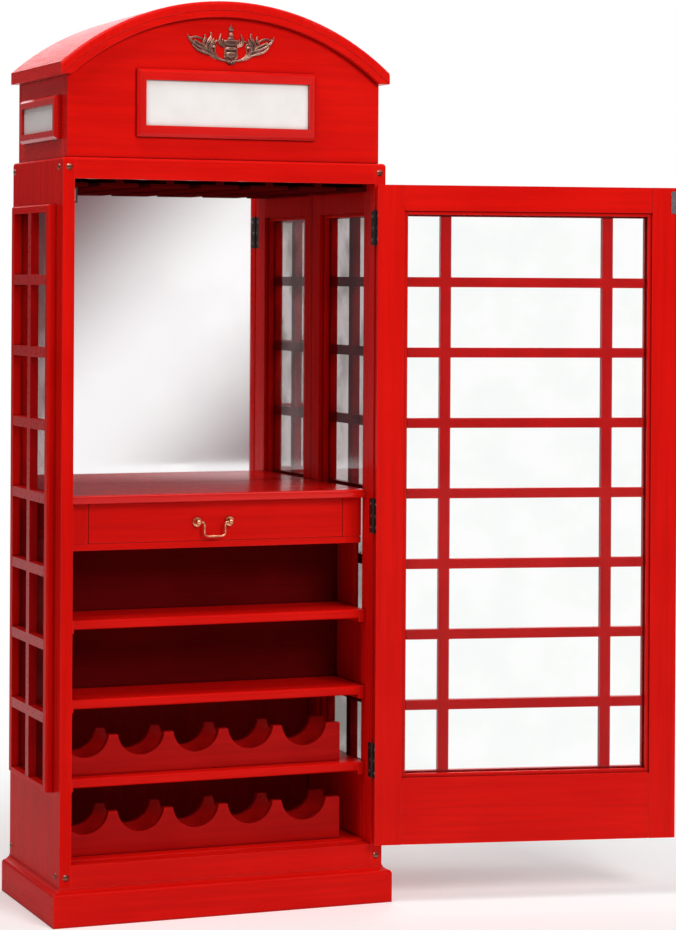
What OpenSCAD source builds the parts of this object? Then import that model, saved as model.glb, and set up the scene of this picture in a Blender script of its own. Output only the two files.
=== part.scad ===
// Phone booth bar cabinet: a glazed cabinet on a plinth, with a header box and a vaulted roof.
// x runs across the front, y runs to the back and z runs up, in millimetres.
// y = 0 is the front face of the body, x = 0 its middle and z = 0 the floor.

/* [Body] */
// Width over the body's sides
body_w = 741; // [720:1:790]
// Depth of the body from front to back
body_d = 400; // [390:1:460]
// Height of the body's top edge above the floor
body_top = 1637; // [1620:1:1700]
// Radius of the body's top outer edge
body_edge_r = 7; // [2:0.5:10]
// Thickness of the side frames, which is also the width of the front posts
side_t = 26; // [22:1:32]
// Depth of the front posts, up to the side window
post_d = 61; // [58:1:64]
// Depth of the rear stiles behind the side windows
rear_stile_d = 65; // [60:1:76]
// Height of the rail over the door
top_rail_h = 45.5; // [40:0.5:60]
// Thickness of the rail over the door
top_rail_t = 26; // [20:1:32]
// Height of the sill rail under the door
sill_h = 47; // [36:1:60]
// Thickness of the back panel
back_t = 13; // [9:1:18]
// Thickness of the board on top of the body
top_board_t = 19; // [12:1:24]
// Thickness of the ceiling board over the bar
ceiling_t = 12; // [9:1:18]
// Gap between the ceiling board and the board on top of the body
ceiling_gap = 0.5; // [0.5:0.5:4]

/* [Plinth] */
// Height of the plinth under the body
plinth_h = 81; // [74:1:100]
// How far the plinth stands out at the front and the sides
plinth_out = 18; // [12:1:26]
// Height of the plinth's upright face with its rounded edge
plinth_face_h = 71; // [60:1:72]
// Radius of the plinth's upper outer edge
plinth_edge_r = 8; // [3:0.5:10]
// Radius of the bead where the plinth meets the body
plinth_bead_r = 2; // [1:0.5:2.5]
// How far the plinth boards reach in under the body
plinth_in = 22; // [12:1:30]

/* [Header and roof] */
// How far the header is set back from the front and the sides of the body
header_inset = 12; // [8:1:20]
// Thickness of the header boards
header_t = 18; // [12:1:24]
// Height of the header's sides up to the eaves
header_h = 176; // [160:1:190]
// How far the roof stands out over the header
roof_out = 18.5; // [12:0.5:22]
// Height of the roof's crown above the eaves
roof_rise = 169; // [140:1:200]
// Height of the roof panel's upright side edges
roof_side_h = 26; // [24:0.5:30]
// Thickness of the bent roof panel
roof_t = 20; // [16:1:20]
// Radius of the roof panel's front edge
roof_edge_r = 8; // [3:0.5:9]
// Height of the trim under the roof's front edge
arch_trim_h = 15.3; // [10:0.1:20]

/* [Signs and ornament] */
// Width of the front sign's frame
sign_w = 410; // [360:1:460]
// Height of the front sign's frame
sign_h = 146; // [120:1:150]
// Height of the front sign's frame above the body's top
sign_up = 47; // [20:1:60]
// Depth of the side signs' frames along the header
side_sign_w = 286; // [240:1:310]
// Height of the side signs' frames
side_sign_h = 95; // [80:1:120]
// Height of the side signs' frames above the body's top
side_sign_up = 40; // [20:1:60]
// Thickness of the sign frames
sign_t = 15; // [12:1:20]
// Bevel of the sign frames' outer edge
sign_bevel = 6; // [2:0.5:8]
// Width of the front sign frame's uprights
sign_stile = 18; // [12:1:24]
// Height of the front sign frame's rails
sign_rail = 24; // [16:1:30]
// Width of the side sign frames' members
side_sign_rail = 19; // [14:1:24]
// How deep the plaques lie in their frames
plaque_recess = 6; // [3:0.5:8]
// Distance of the appliqué's lowest point below the roof's crown
crest_down = 138; // [130:1:150]
// Width of the appliqué over its tips
crest_w = 200; // [150:1:220]
// How far the appliqué stands to the right of the middle
crest_x = 9; // [-20:1:20]
// Thickness of the appliqué's thin ground
crest_ground_t = 2.5; // [1.5:0.5:4]
// Thickness of the appliqué's scrolls
crest_scroll_t = 5; // [4.5:0.5:7]
// Thickness of the appliqué's urn
crest_urn_t = 8; // [7.5:0.5:10]
// Diameter of the domed studs
stud_d = 14.5; // [8:0.5:16]
// Height of the domed studs
stud_h = 4; // [2:0.5:5]
// Distance of the studs from the body's upright edges
stud_in = 14; // [10:1:18]
// Distance of the upper studs below the body's top
stud_down = 21; // [16:1:26]
// Distance of the lower studs above the plinth
stud_up = 21; // [16:1:26]

/* [Side windows] */
// Distance of the window frames behind the body's front
window_front = 48; // [42:1:52]
// Distance of the window frames in front of the body's back
window_back = 52; // [46:1:58]
// How far the window frames and bars stand out
window_out = 18; // [12:1:22]
// Width of the window frames' uprights
window_stile = 22; // [19:1:26]
// Height of the window frames' upper rail
window_top_rail = 16.5; // [14:0.5:24]
// Height of the window frames' lower rail
window_low_rail = 12.5; // [11:0.5:20]
// Bevel of the raised frames' outer edge
frame_bevel = 3; // [1:0.5:5]
// Overlap of a window frame over the opening in the side, above and below
window_lip = 9; // [6:0.5:10]

/* [Glazing] */
// Number of rows of panes in the door and the windows
pane_rows = 8; // [4:1:10]
// Height of the cross bars
cross_bar_h = 22; // [14:1:26]
// Width of the upright bars
upright_bar_w = 24; // [16:1:28]
// Distance of the door's upright bars from its middle
door_bar_x = 185; // [150:1:200]
// Thickness of the glass
glass_t = 3; // [2:0.5:4]
// Width of the beads that hold the glass
bead_w = 8; // [6:0.5:9]
// Thickness of the beads that hold the glass
bead_t = 12; // [8:1:14]

/* [Door] */
// Gap all round the closed door
door_gap = 2; // [1.8:0.1:3]
// Thickness of the door's stiles and rails
door_t = 22; // [20:1:24]
// Width of the door's stiles
door_stile_w = 60; // [56:1:72]
// Height of the door's upper rail
door_top_rail = 57; // [52:1:70]
// Height of the door's lower rail
door_low_rail = 148; // [120:1:180]
// How far the raised frame and bars stand out of the door
door_out = 18; // [12:1:18]
// Width of the members of the door's raised frame
door_frame_w = 33; // [28:1:34]
// Overlap of the raised frame over the door's opening
door_lip = 12; // [9:1:14]
// Angle at which the door stands open
door_angle = 167.7; // [150:0.1:170]

/* [Hinges and catch] */
// Height of a hinge leaf
hinge_h = 76; // [60:1:90]
// Distance of the top hinge's middle below the door's top
hinge_top_drop = 95.5; // [60:0.5:140]
// Distance of the middle hinge's middle above the door's foot
hinge_mid_rise = 726; // [650:1:800]
// Distance of the bottom hinge's middle above the door's foot
hinge_low_rise = 184; // [100:1:220]
// Thickness of a hinge leaf
leaf_t = 1.6; // [1.2:0.1:1.7]
// How far a leaf reaches from the hinge's axis
leaf_reach = 24.4; // [20:0.1:25]
// Radius of the hinge knuckles
knuckle_r = 3.6; // [3.2:0.1:3.8]
// Number of knuckles in a hinge
knuckles = 5; // [3:2:7]
// Distance of the hinge's axis in front of the body
hinge_out = 4.4; // [4.2:0.1:5]
// Radius of a hinge pin
pin_r = 1.8; // [1.4:0.1:2]
// Running clearance round a pin
pin_clear = 0.05; // [0.02:0.01:0.1]
// Radius of a wood screw's head
screw_head_r = 3.2; // [2.5:0.1:3.6]
// Height of a wood screw's head
screw_head_h = 0.7; // [0.4:0.1:0.8]
// Radius of a wood screw's shank
screw_r = 1.5; // [1.2:0.1:1.8]
// Length of a wood screw in the wood
screw_len = 12; // [8:1:14]
// Height of the catch's middle below the top of the door
catch_drop = 33; // [30:1:60]
// Height of the catch
catch_h = 33; // [26:1:40]
// How far the catch stands out of the post
catch_w = 13; // [10:1:16]
// Depth of the catch from front to back
catch_d = 20; // [14:1:24]
// Height of the strike plate
strike_h = 50; // [36:1:52]
// Width of the strike plate
strike_w = 18; // [14:1:22]
// Thickness of the strike plate
strike_t = 1.2; // [0.8:0.1:1.5]

/* [Counter and drawer] */
// Distance of the counter, the shelves and the bottom board behind the body's front
shelf_front = 40; // [30:1:46]
// Height of the counter's top above the floor
counter_z = 912; // [880:1:940]
// Thickness of the counter
counter_t = 19; // [16:1:22]
// Distance of the drawer front behind the body's front
drawer_front_y = 68; // [66:1:74]
// Height of the drawer front
drawer_front_h = 85; // [70:0.5:95]
// Thickness of the drawer front
drawer_front_t = 16; // [12:1:20]
// Width of the filler on the left of the drawer
left_filler_w = 54; // [40:1:70]
// Width of the filler on the right of the drawer
right_filler_w = 44; // [30:1:60]
// Gap between the drawer and the fillers
drawer_side_gap = 1; // [0.5:0.1:3]
// Gap between the drawer front and the counter
drawer_gap = 2; // [1:0.5:4]
// Thickness of the drawer's sides and back
drawer_side_t = 12; // [9:1:15]
// Height of the drawer's sides
drawer_side_h = 70; // [50:1:74]
// Thickness of the drawer's bottom
drawer_bottom_t = 6; // [4:1:8]
// Distance of the drawer's back in front of the back panel
drawer_back_gap = 21; // [10:1:40]
// Thickness of the board under the drawer
divider_t = 15; // [12:1:19]
// Height of the strips that guide the drawer's sides
guide_h = 16; // [10:1:20]

/* [Pulls] */
// Distance between the posts of the drawer's bail
bail_centres = 75; // [64:1:96]
// How far the drawer's pull stands to the right of the middle
bail_x = -6; // [-20:1:20]
// Height of the bail's pivot above the drawer front's lower edge
bail_up = 41; // [38:0.5:50]
// How far the bail hangs below its pivot
bail_drop = 31; // [26:1:34]
// Radius of the bail's wire
bail_r = 2.2; // [1.8:0.1:2.6]
// Radius of the bail's thicker grip
bail_grip_r = 3; // [2.2:0.1:3.4]
// Distance of the bail's pivot in front of the drawer front
bail_stand = 14; // [11:1:16]
// Radius of the ball that holds the bail's end
post_ball_r = 6.5; // [5:0.5:7]
// Radius of the round rosettes
rosette_r = 10; // [8:0.5:12]
// Thickness of the rosettes
rosette_t = 3; // [2:0.5:4]
// Height of the door pull's pivot above the door's foot
ring_rise = 730; // [600:1:900]
// Distance of the door pull's middle from the door's free edge
ring_in = 19; // [17:1:21]
// Radius of the drop ring's wire
ring_wire_r = 1.6; // [1.2:0.1:2]
// Radius of the drop ring's round lower part
ring_r = 11; // [10:0.5:13]
// Distance of the drop ring's pivot in front of the door
ring_stand = 12; // [10:1:14]

/* [Shelves and bottle racks] */
// Height of the upper shelf's top above the floor
upper_shelf_z = 644.5; // [600:0.5:680]
// Height of the middle shelf's top above the floor
middle_shelf_z = 474; // [450:1:500]
// Height of the rack shelf's top above the floor
rack_shelf_z = 304.5; // [290:0.5:320]
// Thickness of the shelves
shelf_t = 20; // [16:1:24]
// Height of the bottom board's top above the sill rail
bottom_up = 3; // [1:0.5:5]
// Thickness of the bottom board
bottom_t = 19; // [14:1:24]
// Radius of the boards' rounded front edges
nose_r = 5; // [2:0.5:7]
// Thickness of the cleats at the shelves' ends
cleat_t = 15.5; // [10:0.5:20]
// Height of the cleats at the shelves' ends
cleat_h = 28; // [20:1:34]
// Distance of the inner back panel behind the body's front
inner_back_y = 212; // [180:1:260]
// Thickness of the inner back panel
inner_back_t = 12; // [6:1:16]
// Thickness of the liners inside the side windows
liner_t = 9; // [6:1:10]
// Distance of the upper liners behind the body's front
liner_front_y = 107; // [80:1:160]
// Distance of the front rack boards behind the body's front
rack_front_y = 75; // [60:1:100]
// Distance of the rear rack boards behind the body's front
rack_rear_y = 175; // [150:1:250]
// Thickness of the rack boards
rack_t = 16; // [12:1:20]
// Height of the upper rack boards
upper_rack_h = 85.5; // [76:0.5:110]
// Height of the lower rack boards
lower_rack_h = 93; // [76:1:110]
// Number of bottles in a rack
scallops = 5; // [3:1:5]
// Radius of a scallop
scallop_r = 53; // [40:1:56]
// Depth of a scallop
scallop_depth = 47; // [30:1:50]
// Distance of the rack boards' right ends from the right wall
rack_gap = 45.6; // [20:0.1:60]
// Width of the shoulder at a rack board's right end
rack_shoulder = 32.5; // [16:0.5:40]

/* [Stemware rails and mirror] */
// Number of slots for stemware
stem_slots = 6; // [4:1:7]
// Width of a slot between two rails
stem_slot_w = 28; // [24:1:34]
// Thickness of the upright web of a rail
stem_web_t = 18; // [12:1:24]
// Clear height between a rail's flange and the ceiling
stem_web_h = 21; // [18:1:30]
// Thickness of a rail's flange
stem_flange_t = 8; // [6:1:10]
// Distance of the rails behind the body's front
stem_front = 50; // [46:1:80]
// Distance of the rails' rear ends in front of the mirror
stem_back_gap = 23; // [5:1:60]
// Height of the mirror
mirror_h = 675; // [560:1:680]
// Thickness of the mirror
mirror_t = 4; // [3:0.5:6]

/* [Hidden] */

red = [0.84, 0.10, 0.07];
deep_red = [0.66, 0.05, 0.05];
dark_red = [0.25, 0.03, 0.04];
brass = [0.80, 0.64, 0.38];
bronze = [0.47, 0.34, 0.28];
black = [0.10, 0.09, 0.09];
steel = [0.72, 0.72, 0.74];
opal = [0.95, 0.93, 0.90];
clear = [0.80, 0.86, 0.88, 0.35];
silvered = [0.80, 0.80, 0.82];

// Fineness of small and of large round surfaces
fine = 48;
broad = 360;
$fn = fine;

// Half of the open line between two boards of one frame
glue_line = 0.05;
// Gap between a part and the seat that it slides in or stands free of
slip = 0.3;
// How far a cut runs past the face that it opens
past = 1;

// Main places of the body
side_x = body_w / 2;
in_x = side_x - side_t;
open_top = body_top - top_rail_h;
ceiling_z = body_top - top_board_t - ceiling_gap - ceiling_t;
sill_top = plinth_h + sill_h;
back_y = body_d - back_t;
mirror_y = back_y - mirror_t;
bottom_z = sill_top + bottom_up;

// Door, drawn closed
door_x = in_x - door_gap;
door_foot = sill_top + door_gap;
door_top = open_top - door_gap;
panel_x = door_x - door_stile_w;
panel_low = door_foot + door_low_rail;
panel_high = door_top - door_top_rail;
lattice_x = panel_x - door_lip;
lattice_low = panel_low + door_lip;
lattice_high = panel_high - door_lip;
hinge_y = -hinge_out;
hinge_zs = [door_foot + hinge_low_rise, door_foot + hinge_mid_rise, door_top - hinge_top_drop];

// Side windows share the door's heights
window_y = [window_front + window_stile, body_d - window_back - window_stile];
window_z = [lattice_low - window_low_rail, lattice_high + window_top_rail];
side_open_z = [lattice_low - window_lip, lattice_high + window_lip];
side_open_y = [post_d, body_d - rear_stile_d];

// Header and roof
header_x = side_x - header_inset;
eave_z = body_top + header_h;
roof_x = header_x + roof_out;
roof_y = header_inset - roof_out;
roof_top = eave_z + roof_rise;
vault_sag = roof_rise - roof_side_h;
roof_r = (pow(roof_x, 2) + pow(vault_sag, 2)) / (2 * vault_sag);
vault_z = roof_top - roof_r;
vault_in_r = roof_r - roof_t;
trim_in_r = vault_in_r - arch_trim_h;

// Counter and drawer
drawer_top = counter_z - counter_t - drawer_gap;
drawer_foot = drawer_top - drawer_front_h;
filler_x = [left_filler_w - in_x, in_x - right_filler_w];
drawer_x = [filler_x[0] + drawer_side_gap, filler_x[1] - drawer_side_gap];
drawer_in_x = [drawer_x[0] + drawer_side_t, drawer_x[1] - drawer_side_t];
drawer_back_y = back_y - drawer_back_gap;
drawer_box_y = drawer_front_y + drawer_front_t;
divider_top = drawer_foot - slip;
bail_z = drawer_foot + bail_up;
bail_y = drawer_front_y - bail_stand;

// Shelves and racks
shelf_x = in_x - cleat_t;
scallop_half = sqrt(pow(scallop_r, 2) - pow(scallop_r - scallop_depth, 2));
rack_end_x = in_x - rack_gap;
scallop_pitch = (in_x + rack_end_x - rack_shoulder - 2 * scallop_half) / (scallops - 1);

// Block between pairs of x, y and z
module block(x, y, z) {
    translate([x[0], y[0], z[0]])
        cube([x[1] - x[0], y[1] - y[0], z[1] - z[0]]);
}

// The children, and the same mirrored on the cabinet's other side
module both_sides() {
    children();
    mirror([1, 0, 0]) children();
}

// Run a section drawn in y and z along x
module along_x(x) {
    translate([x[0], 0, 0])
        rotate([90, 0, 90])
            linear_extrude(x[1] - x[0]) children();
}

// Run a section drawn in x and z along y
module along_y(y) {
    translate([0, y[1], 0])
        rotate([90, 0, 0])
            linear_extrude(y[1] - y[0]) children();
}

// Section of a board edge with its upper left corner rounded
module rounded_edge(run, height, r) {
    square([run, height - r]);
    translate([r, 0]) square([run - r, height]);
    translate([r, height - r]) circle(r);
}

// Board that lies flat, with a rounded front edge
module nosed_board(x, y, top, t) {
    along_x(x) {
        translate([y[0] + nose_r, top - t]) square([y[1] - y[0] - nose_r, t]);
        translate([y[0], top - t + nose_r]) square([2 * nose_r, t - 2 * nose_r]);
        for (z = [top - t + nose_r, top - nose_r])
            translate([y[0] + nose_r, z]) circle(nose_r);
    }
}

// Plate on y = 0 that stands out to y = -t, with bevelled outer edges
module bevelled_plate(w, h, t, bevel) {
    intersection() {
        linear_extrude(h)
            polygon([[-w / 2, 0], [-w / 2, bevel - t], [bevel - w / 2, -t],
                [w / 2 - bevel, -t], [w / 2, bevel - t], [w / 2, 0]]);
        along_x([-w / 2, w / 2])
            polygon([[0, 0], [bevel - t, 0], [-t, bevel], [-t, h - bevel], [bevel - t, h], [0, h]]);
    }
}

// Four mitred members of a raised frame, which stands out to y = -t
module raised_frame(w, h, t, bevel, stile, top, low) {
    g = glue_line;
    a = w / 2;
    b = w / 2 - stile;
    members = [
        [[-a + g, 0], [a - g, 0], [b - g, low], [-b + g, low]],
        [[-a + g, h], [a - g, h], [b - g, h - top], [-b + g, h - top]],
        [[-a, g], [-b, low + g], [-b, h - top - g], [-a, h - g]],
        [[a, g], [b, low + g], [b, h - top - g], [a, h - g]]];
    for (member = members)
        intersection() {
            bevelled_plate(w, h, t, bevel);
            along_y([-t, 0]) polygon(member);
        }
}

// Four square beads inside an opening, from y = 0 to y = t
module bead_frame(w, h, t, side) {
    both_sides() block([w / 2 - side, w / 2], [0, t], [0, h]);
    reach = w / 2 - side - 2 * glue_line;
    for (z = [0, h - side])
        block([-reach, reach], [0, t], [z, z + side]);
}

// Crossed glazing bars in an opening, which stand out to y = -t
module glazing_bars(w, h, t, uprights) {
    row = (h - (pane_rows - 1) * cross_bar_h) / pane_rows;
    for (i = [1 : pane_rows - 1]) {
        z = i * row + (i - 1) * cross_bar_h;
        block([-w / 2, w / 2], [-t, 0], [z, z + cross_bar_h]);
    }
    for (x = uprights)
        block([x - upright_bar_w / 2, x + upright_bar_w / 2], [-t, 0], [0, h]);
}

// Points on a round of radius r about c, from one angle to another
function round_points(c, r, angles) =
    let (steps = 8)
    [for (i = [0 : steps])
        let (angle = angles[0] + (angles[1] - angles[0]) * i / steps)
        c + r * [cos(angle), sin(angle)]];

// Section of the plinth's moulded board, with 0 at the body's face
module plinth_section() {
    edge = [plinth_edge_r - plinth_out, plinth_face_h - plinth_edge_r];
    bead = [0, plinth_h - plinth_bead_r];
    polygon(concat([[-plinth_out, 0]], round_points(edge, plinth_edge_r, [180, 90]),
        round_points(bead, plinth_bead_r, [225, 90]), [[plinth_in, plinth_h], [plinth_in, 0]]));
}

// Outer and inner corner of the mitre between two plinth boards
mitre_out = [side_x + plinth_out, -plinth_out];
mitre_in = [side_x - plinth_in, plinth_in];

module plinth_front() {
    color(red)
        intersection() {
            along_x([-mitre_out[0], mitre_out[0]]) plinth_section();
            linear_extrude(plinth_h)
                polygon([mitre_out, mitre_in, [-mitre_in[0], mitre_in[1]],
                    [-mitre_out[0], mitre_out[1]]]);
        }
}

module plinth_returns() {
    in_back = body_d - plinth_in;
    reach = mitre_in[0] - 2 * glue_line;
    color(red) {
        both_sides()
            intersection() {
                along_y([-plinth_out, body_d])
                    translate([side_x, 0]) mirror([1, 0]) plinth_section();
                linear_extrude(plinth_h)
                    polygon([mitre_out, mitre_in, [mitre_in[0], body_d], [mitre_out[0], body_d]]);
            }
        block([-reach, reach], [in_back, body_d], [0, plinth_h]);
    }
}

// The body's outside as one block, rounded along its top, which posts and rails are cut from
module body_block() {
    h = body_top - plinth_h;
    translate([0, 0, plinth_h])
        intersection() {
            along_x([-side_x, side_x]) rounded_edge(body_d, h, body_edge_r);
            along_y([0, body_d]) {
                translate([-side_x, 0]) rounded_edge(side_x + past, h, body_edge_r);
                mirror([1, 0]) translate([-side_x, 0]) rounded_edge(side_x + past, h, body_edge_r);
            }
        }
}

module front_rails() {
    color(red) {
        intersection() {
            body_block();
            block([-in_x, in_x], [0, top_rail_t], [open_top, body_top]);
        }
        block([-in_x, in_x], [0, shelf_front], [plinth_h, sill_top]);
    }
}

module left_front_post() {
    color(red)
        intersection() {
            body_block();
            block([-side_x, -in_x], [0, post_d], [plinth_h, body_top]);
        }
}

// The right post has the hinge mortises and the pilot holes of their screws
module right_front_post() {
    color(red)
        difference() {
            intersection() {
                body_block();
                block([in_x, side_x], [0, post_d], [plinth_h, body_top]);
            }
            for (z = hinge_zs)
                translate([in_x, hinge_y, z]) {
                    leaf_seat();
                    leaf_screw_places() pilot_hole();
                }
        }
}

module side_frames() {
    color(red)
        intersection() {
            body_block();
            both_sides() {
                block([in_x, side_x], [side_open_y[1], body_d], [plinth_h, body_top]);
                for (z = [[plinth_h, side_open_z[0]], [side_open_z[1], body_top]])
                    block([in_x, side_x], [side_open_y[0], side_open_y[1] - 2 * glue_line], z);
            }
        }
}

module bottom_board() {
    color(red) nosed_board([-in_x, in_x], [shelf_front, back_y], bottom_z, bottom_t);
}

module back_panel() {
    color(deep_red) block([-in_x, in_x], [back_y, body_d], [plinth_h, body_top]);
}

module top_board() {
    color(red)
        block([-in_x, in_x], [top_rail_t, back_y], [body_top - top_board_t, body_top]);
}

module ceiling_board() {
    color(deep_red)
        block([-in_x, in_x], [top_rail_t, back_y], [ceiling_z, ceiling_z + ceiling_t]);
}

// Place what is drawn on y = 0 and faces -y on the outside of both sides of the body
module on_sides(x, y) {
    both_sides()
        translate([x, (y[0] + y[1]) / 2, 0]) rotate([0, 0, 90]) children();
}

module window_frames() {
    frame_y = [window_front, body_d - window_back];
    color(red)
        on_sides(side_x, frame_y)
            translate([0, 0, window_z[0]])
                raised_frame(frame_y[1] - frame_y[0], window_z[1] - window_z[0], window_out,
                    frame_bevel, window_stile, window_top_rail, window_low_rail);
}

module window_bars() {
    color(red)
        on_sides(side_x, window_y)
            translate([0, 0, lattice_low])
                glazing_bars(window_y[1] - window_y[0], lattice_high - lattice_low, window_out, [0]);
}

module window_glass() {
    w = side_open_y[1] - side_open_y[0] - 2 * slip;
    color(clear)
        on_sides(side_x, side_open_y)
            block([-w / 2, w / 2], [0, glass_t], [side_open_z[0] + slip, side_open_z[1] - slip]);
}

module window_beads() {
    w = side_open_y[1] - side_open_y[0];
    color(red)
        on_sides(side_x - glass_t, side_open_y)
            translate([0, 0, side_open_z[0]])
                bead_frame(w, side_open_z[1] - side_open_z[0], bead_t, bead_w);
}

// Disc about the vault's axis
module vault_disc(r, y) {
    translate([0, y[0], vault_z])
        rotate([-90, 0, 0]) cylinder(r = r, h = y[1] - y[0], $fn = broad);
}

module header_front() {
    y = [header_inset, header_inset + header_t];
    color(red)
        intersection() {
            vault_disc(vault_in_r, y);
            block([-header_x, header_x], y, [body_top, roof_top]);
        }
}

module header_box() {
    in_front = header_inset + header_t;
    in_back = body_d - header_t;
    color(red) {
        intersection() {
            vault_disc(vault_in_r, [in_front, in_back - 2 * glue_line]);
            both_sides()
                block([header_x - header_t, header_x], [in_front, in_back - 2 * glue_line],
                    [body_top, roof_top]);
        }
        intersection() {
            vault_disc(vault_in_r, [in_back, body_d]);
            block([-header_x, header_x], [in_back, body_d], [body_top, roof_top]);
        }
    }
}

// Ring about the vault's axis, with its outer front edge rounded
module vault_ring(r, y, edge) {
    translate([0, 0, vault_z])
        rotate([-90, 0, 0])
            rotate_extrude($fn = broad) {
                translate([r[0], y[0]]) square([r[1] - r[0] - edge, y[1] - y[0]]);
                translate([r[0], y[0] + edge]) square([r[1] - r[0], y[1] - y[0] - edge]);
                translate([r[1] - edge, y[0] + edge]) circle(edge, $fn = fine);
            }
}

module roof_panel() {
    color(red)
        intersection() {
            vault_ring([vault_in_r, roof_r], [roof_y, body_d], roof_edge_r);
            block([-roof_x, roof_x], [roof_y, body_d], [eave_z, roof_top]);
        }
}

// Ring under the roof panel
module trim_ring(y) {
    difference() {
        vault_disc(vault_in_r, y);
        vault_disc(trim_in_r, [y[0] - past, y[1] + past]);
    }
}

module arch_trim() {
    y = [roof_y, header_inset];
    color(red)
        intersection() {
            trim_ring(y);
            block([-roof_x, roof_x], y, [eave_z, roof_top]);
        }
}

module eave_trims() {
    y = [header_inset, body_d];
    color(red)
        intersection() {
            trim_ring(y);
            both_sides() block([header_x, roof_x], y, [eave_z, roof_top]);
        }
}

// Frames of the sign on the header's front and of those on its sides
module sign_frames() {
    color(red) {
        translate([0, header_inset, body_top + sign_up])
            raised_frame(sign_w, sign_h, sign_t, sign_bevel, sign_stile, sign_rail, sign_rail);
        on_sides(header_x, [0, body_d])
            translate([0, 0, body_top + side_sign_up])
                raised_frame(side_sign_w, side_sign_h, sign_t, sign_bevel, side_sign_rail,
                    side_sign_rail, side_sign_rail);
    }
}

// Plain plaque in a sign frame of the given size
module plaque(w, h, stile, rail) {
    reach = w / 2 - stile - slip;
    block([-reach, reach], [plaque_recess - sign_t, 0], [rail + slip, h - rail - slip]);
}

module sign_plaques() {
    color(opal) {
        translate([0, header_inset, body_top + sign_up])
            plaque(sign_w, sign_h, sign_stile, sign_rail);
        on_sides(header_x, [0, body_d])
            translate([0, 0, body_top + side_sign_up])
                plaque(side_sign_w, side_sign_h, side_sign_rail, side_sign_rail);
    }
}

// Point on a cubic curve through four control points
function curve_at(p, t) =
    pow(1 - t, 3) * p[0] + 3 * t * pow(1 - t, 2) * p[1] + 3 * t * t * (1 - t) * p[2] + pow(t, 3) * p[3];
// Direction square to the curve
function curve_side(p, t) =
    let (step = 0.01, d = curve_at(p, t + step) - curve_at(p, t - step))
    [-d[1], d[0]] / norm(d);

// Leaf or scroll along a curve, which swells from w[0] to w[1] and tapers to w[2]
module leaf_stroke(p, w) {
    steps = 10;
    width = [for (i = [0 : steps])
        let (t = i / steps)
        w[0] * (1 - t) * (1 - 2 * t) + 4 * w[1] * t * (1 - t) + w[2] * t * (2 * t - 1)];
    one = [for (i = [0 : steps]) curve_at(p, i / steps) + curve_side(p, i / steps) * width[i] / 2];
    other = [for (i = [steps : -1 : 0])
        curve_at(p, i / steps) - curve_side(p, i / steps) * width[i] / 2];
    polygon(crest_k * concat(one, other));
}

// The appliqué is drawn 200 wide and brought to its width
crest_k = let (drawn_w = 200) crest_w / drawn_w;

// One wing of the appliqué, from its middle at x = 0 out to the left; z = 0 is its lowest point
module crest_wing() {
    volute_r = 4.5;
    bead_r = 3.2;
    leaf_stroke([[-2, 9], [-22, 9], [-34, 13], [-45, 21]], [4, 5, 4]);
    leaf_stroke([[-43, 20], [-62, 26], [-82, 28], [-89, 46]], [4, 6, 3]);
    leaf_stroke([[-87, 42], [-90, 52], [-96, 52], [-100, 65]], [4, 6, 1]);
    leaf_stroke([[-93, 55], [-84, 62], [-72, 60], [-61, 50]], [3, 5, 3]);
    leaf_stroke([[-89, 50], [-80, 40], [-68, 34], [-50, 32]], [3, 5, 3]);
    leaf_stroke([[-84, 53], [-76, 47], [-66, 42], [-52, 40]], [2, 4, 2]);
    leaf_stroke([[-63, 44], [-64, 52], [-57, 54], [-60, 64]], [4, 7, 2]);
    leaf_stroke([[-56, 40], [-56, 52], [-43, 55], [-46, 69]], [4, 8, 2]);
    leaf_stroke([[-51, 40], [-45, 46], [-43, 50], [-40, 58]], [3, 6, 2]);
    leaf_stroke([[-30, 13], [-42, 20], [-47, 32], [-44, 42]], [3, 5, 4]);
    leaf_stroke([[-45, 37], [-47, 48], [-34, 49], [-34, 39]], [4, 4, 2]);
    leaf_stroke([[-23, 13], [-36, 18], [-40, 28], [-35, 36]], [3, 4, 2]);
    leaf_stroke([[-41, 45], [-36, 54], [-28, 54], [-20, 47]], [3, 4, 3]);
    leaf_stroke([[-8, 13], [-18, 16], [-12, 26], [-13, 38]], [4, 5, 3]);
    leaf_stroke([[-15, 40], [-29, 42], [-28, 54], [-23, 68]], [5, 7, 1.5]);
    leaf_stroke([[-13, 44], [-20, 44], [-22, 50], [-19, 57]], [3, 4, 2]);
    translate(crest_k * [-39.5, 38.5]) circle(crest_k * volute_r, $fn = 20);
    translate(crest_k * [-94, 57]) circle(crest_k * bead_r, $fn = 16);
}

// Ground behind the wing, which ties the scrolls together
module crest_ground() {
    leaf_stroke([[-34, 13], [-46, 26], [-62, 36], [-86, 50]], [5, 13, 5]);
    leaf_stroke([[-50, 28], [-54, 38], [-52, 48], [-50, 58]], [8, 12, 4]);
    leaf_stroke([[-5, 9], [-10, 20], [-9, 32], [-6, 42]], [8, 8, 8]);
}

// Half of the urn's outline, from the pendant up to the finial
urn_outline = [[0, 0], [11, 5], [4, 9.5], [6, 14], [11.5, 19], [11.5, 26], [8, 29.5], [12, 34],
    [12, 37], [9, 40], [14, 44], [17.3, 50], [17.3, 54], [9, 53], [7.5, 58], [4, 64], [4.5, 68],
    [4, 71], [3, 73.5], [6.2, 76], [5, 81], [2, 86], [0, 88.5]];

module crest() {
    right = [for (p = urn_outline) crest_k * p];
    left = [for (i = [len(right) - 2 : -1 : 1]) [-right[i][0], right[i][1]]];
    color(bronze)
        translate([crest_x, 0, roof_top - crest_down])
            for (layer = [0, 1, 2])
                along_y([header_inset - [crest_ground_t, crest_scroll_t, crest_urn_t][layer],
                    header_inset])
                    if (layer == 2) polygon(concat(right, left));
                    else for (side = [0, 1])
                        mirror([side, 0]) {
                            if (layer == 0) crest_ground();
                            else crest_wing();
                        }
}

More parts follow.
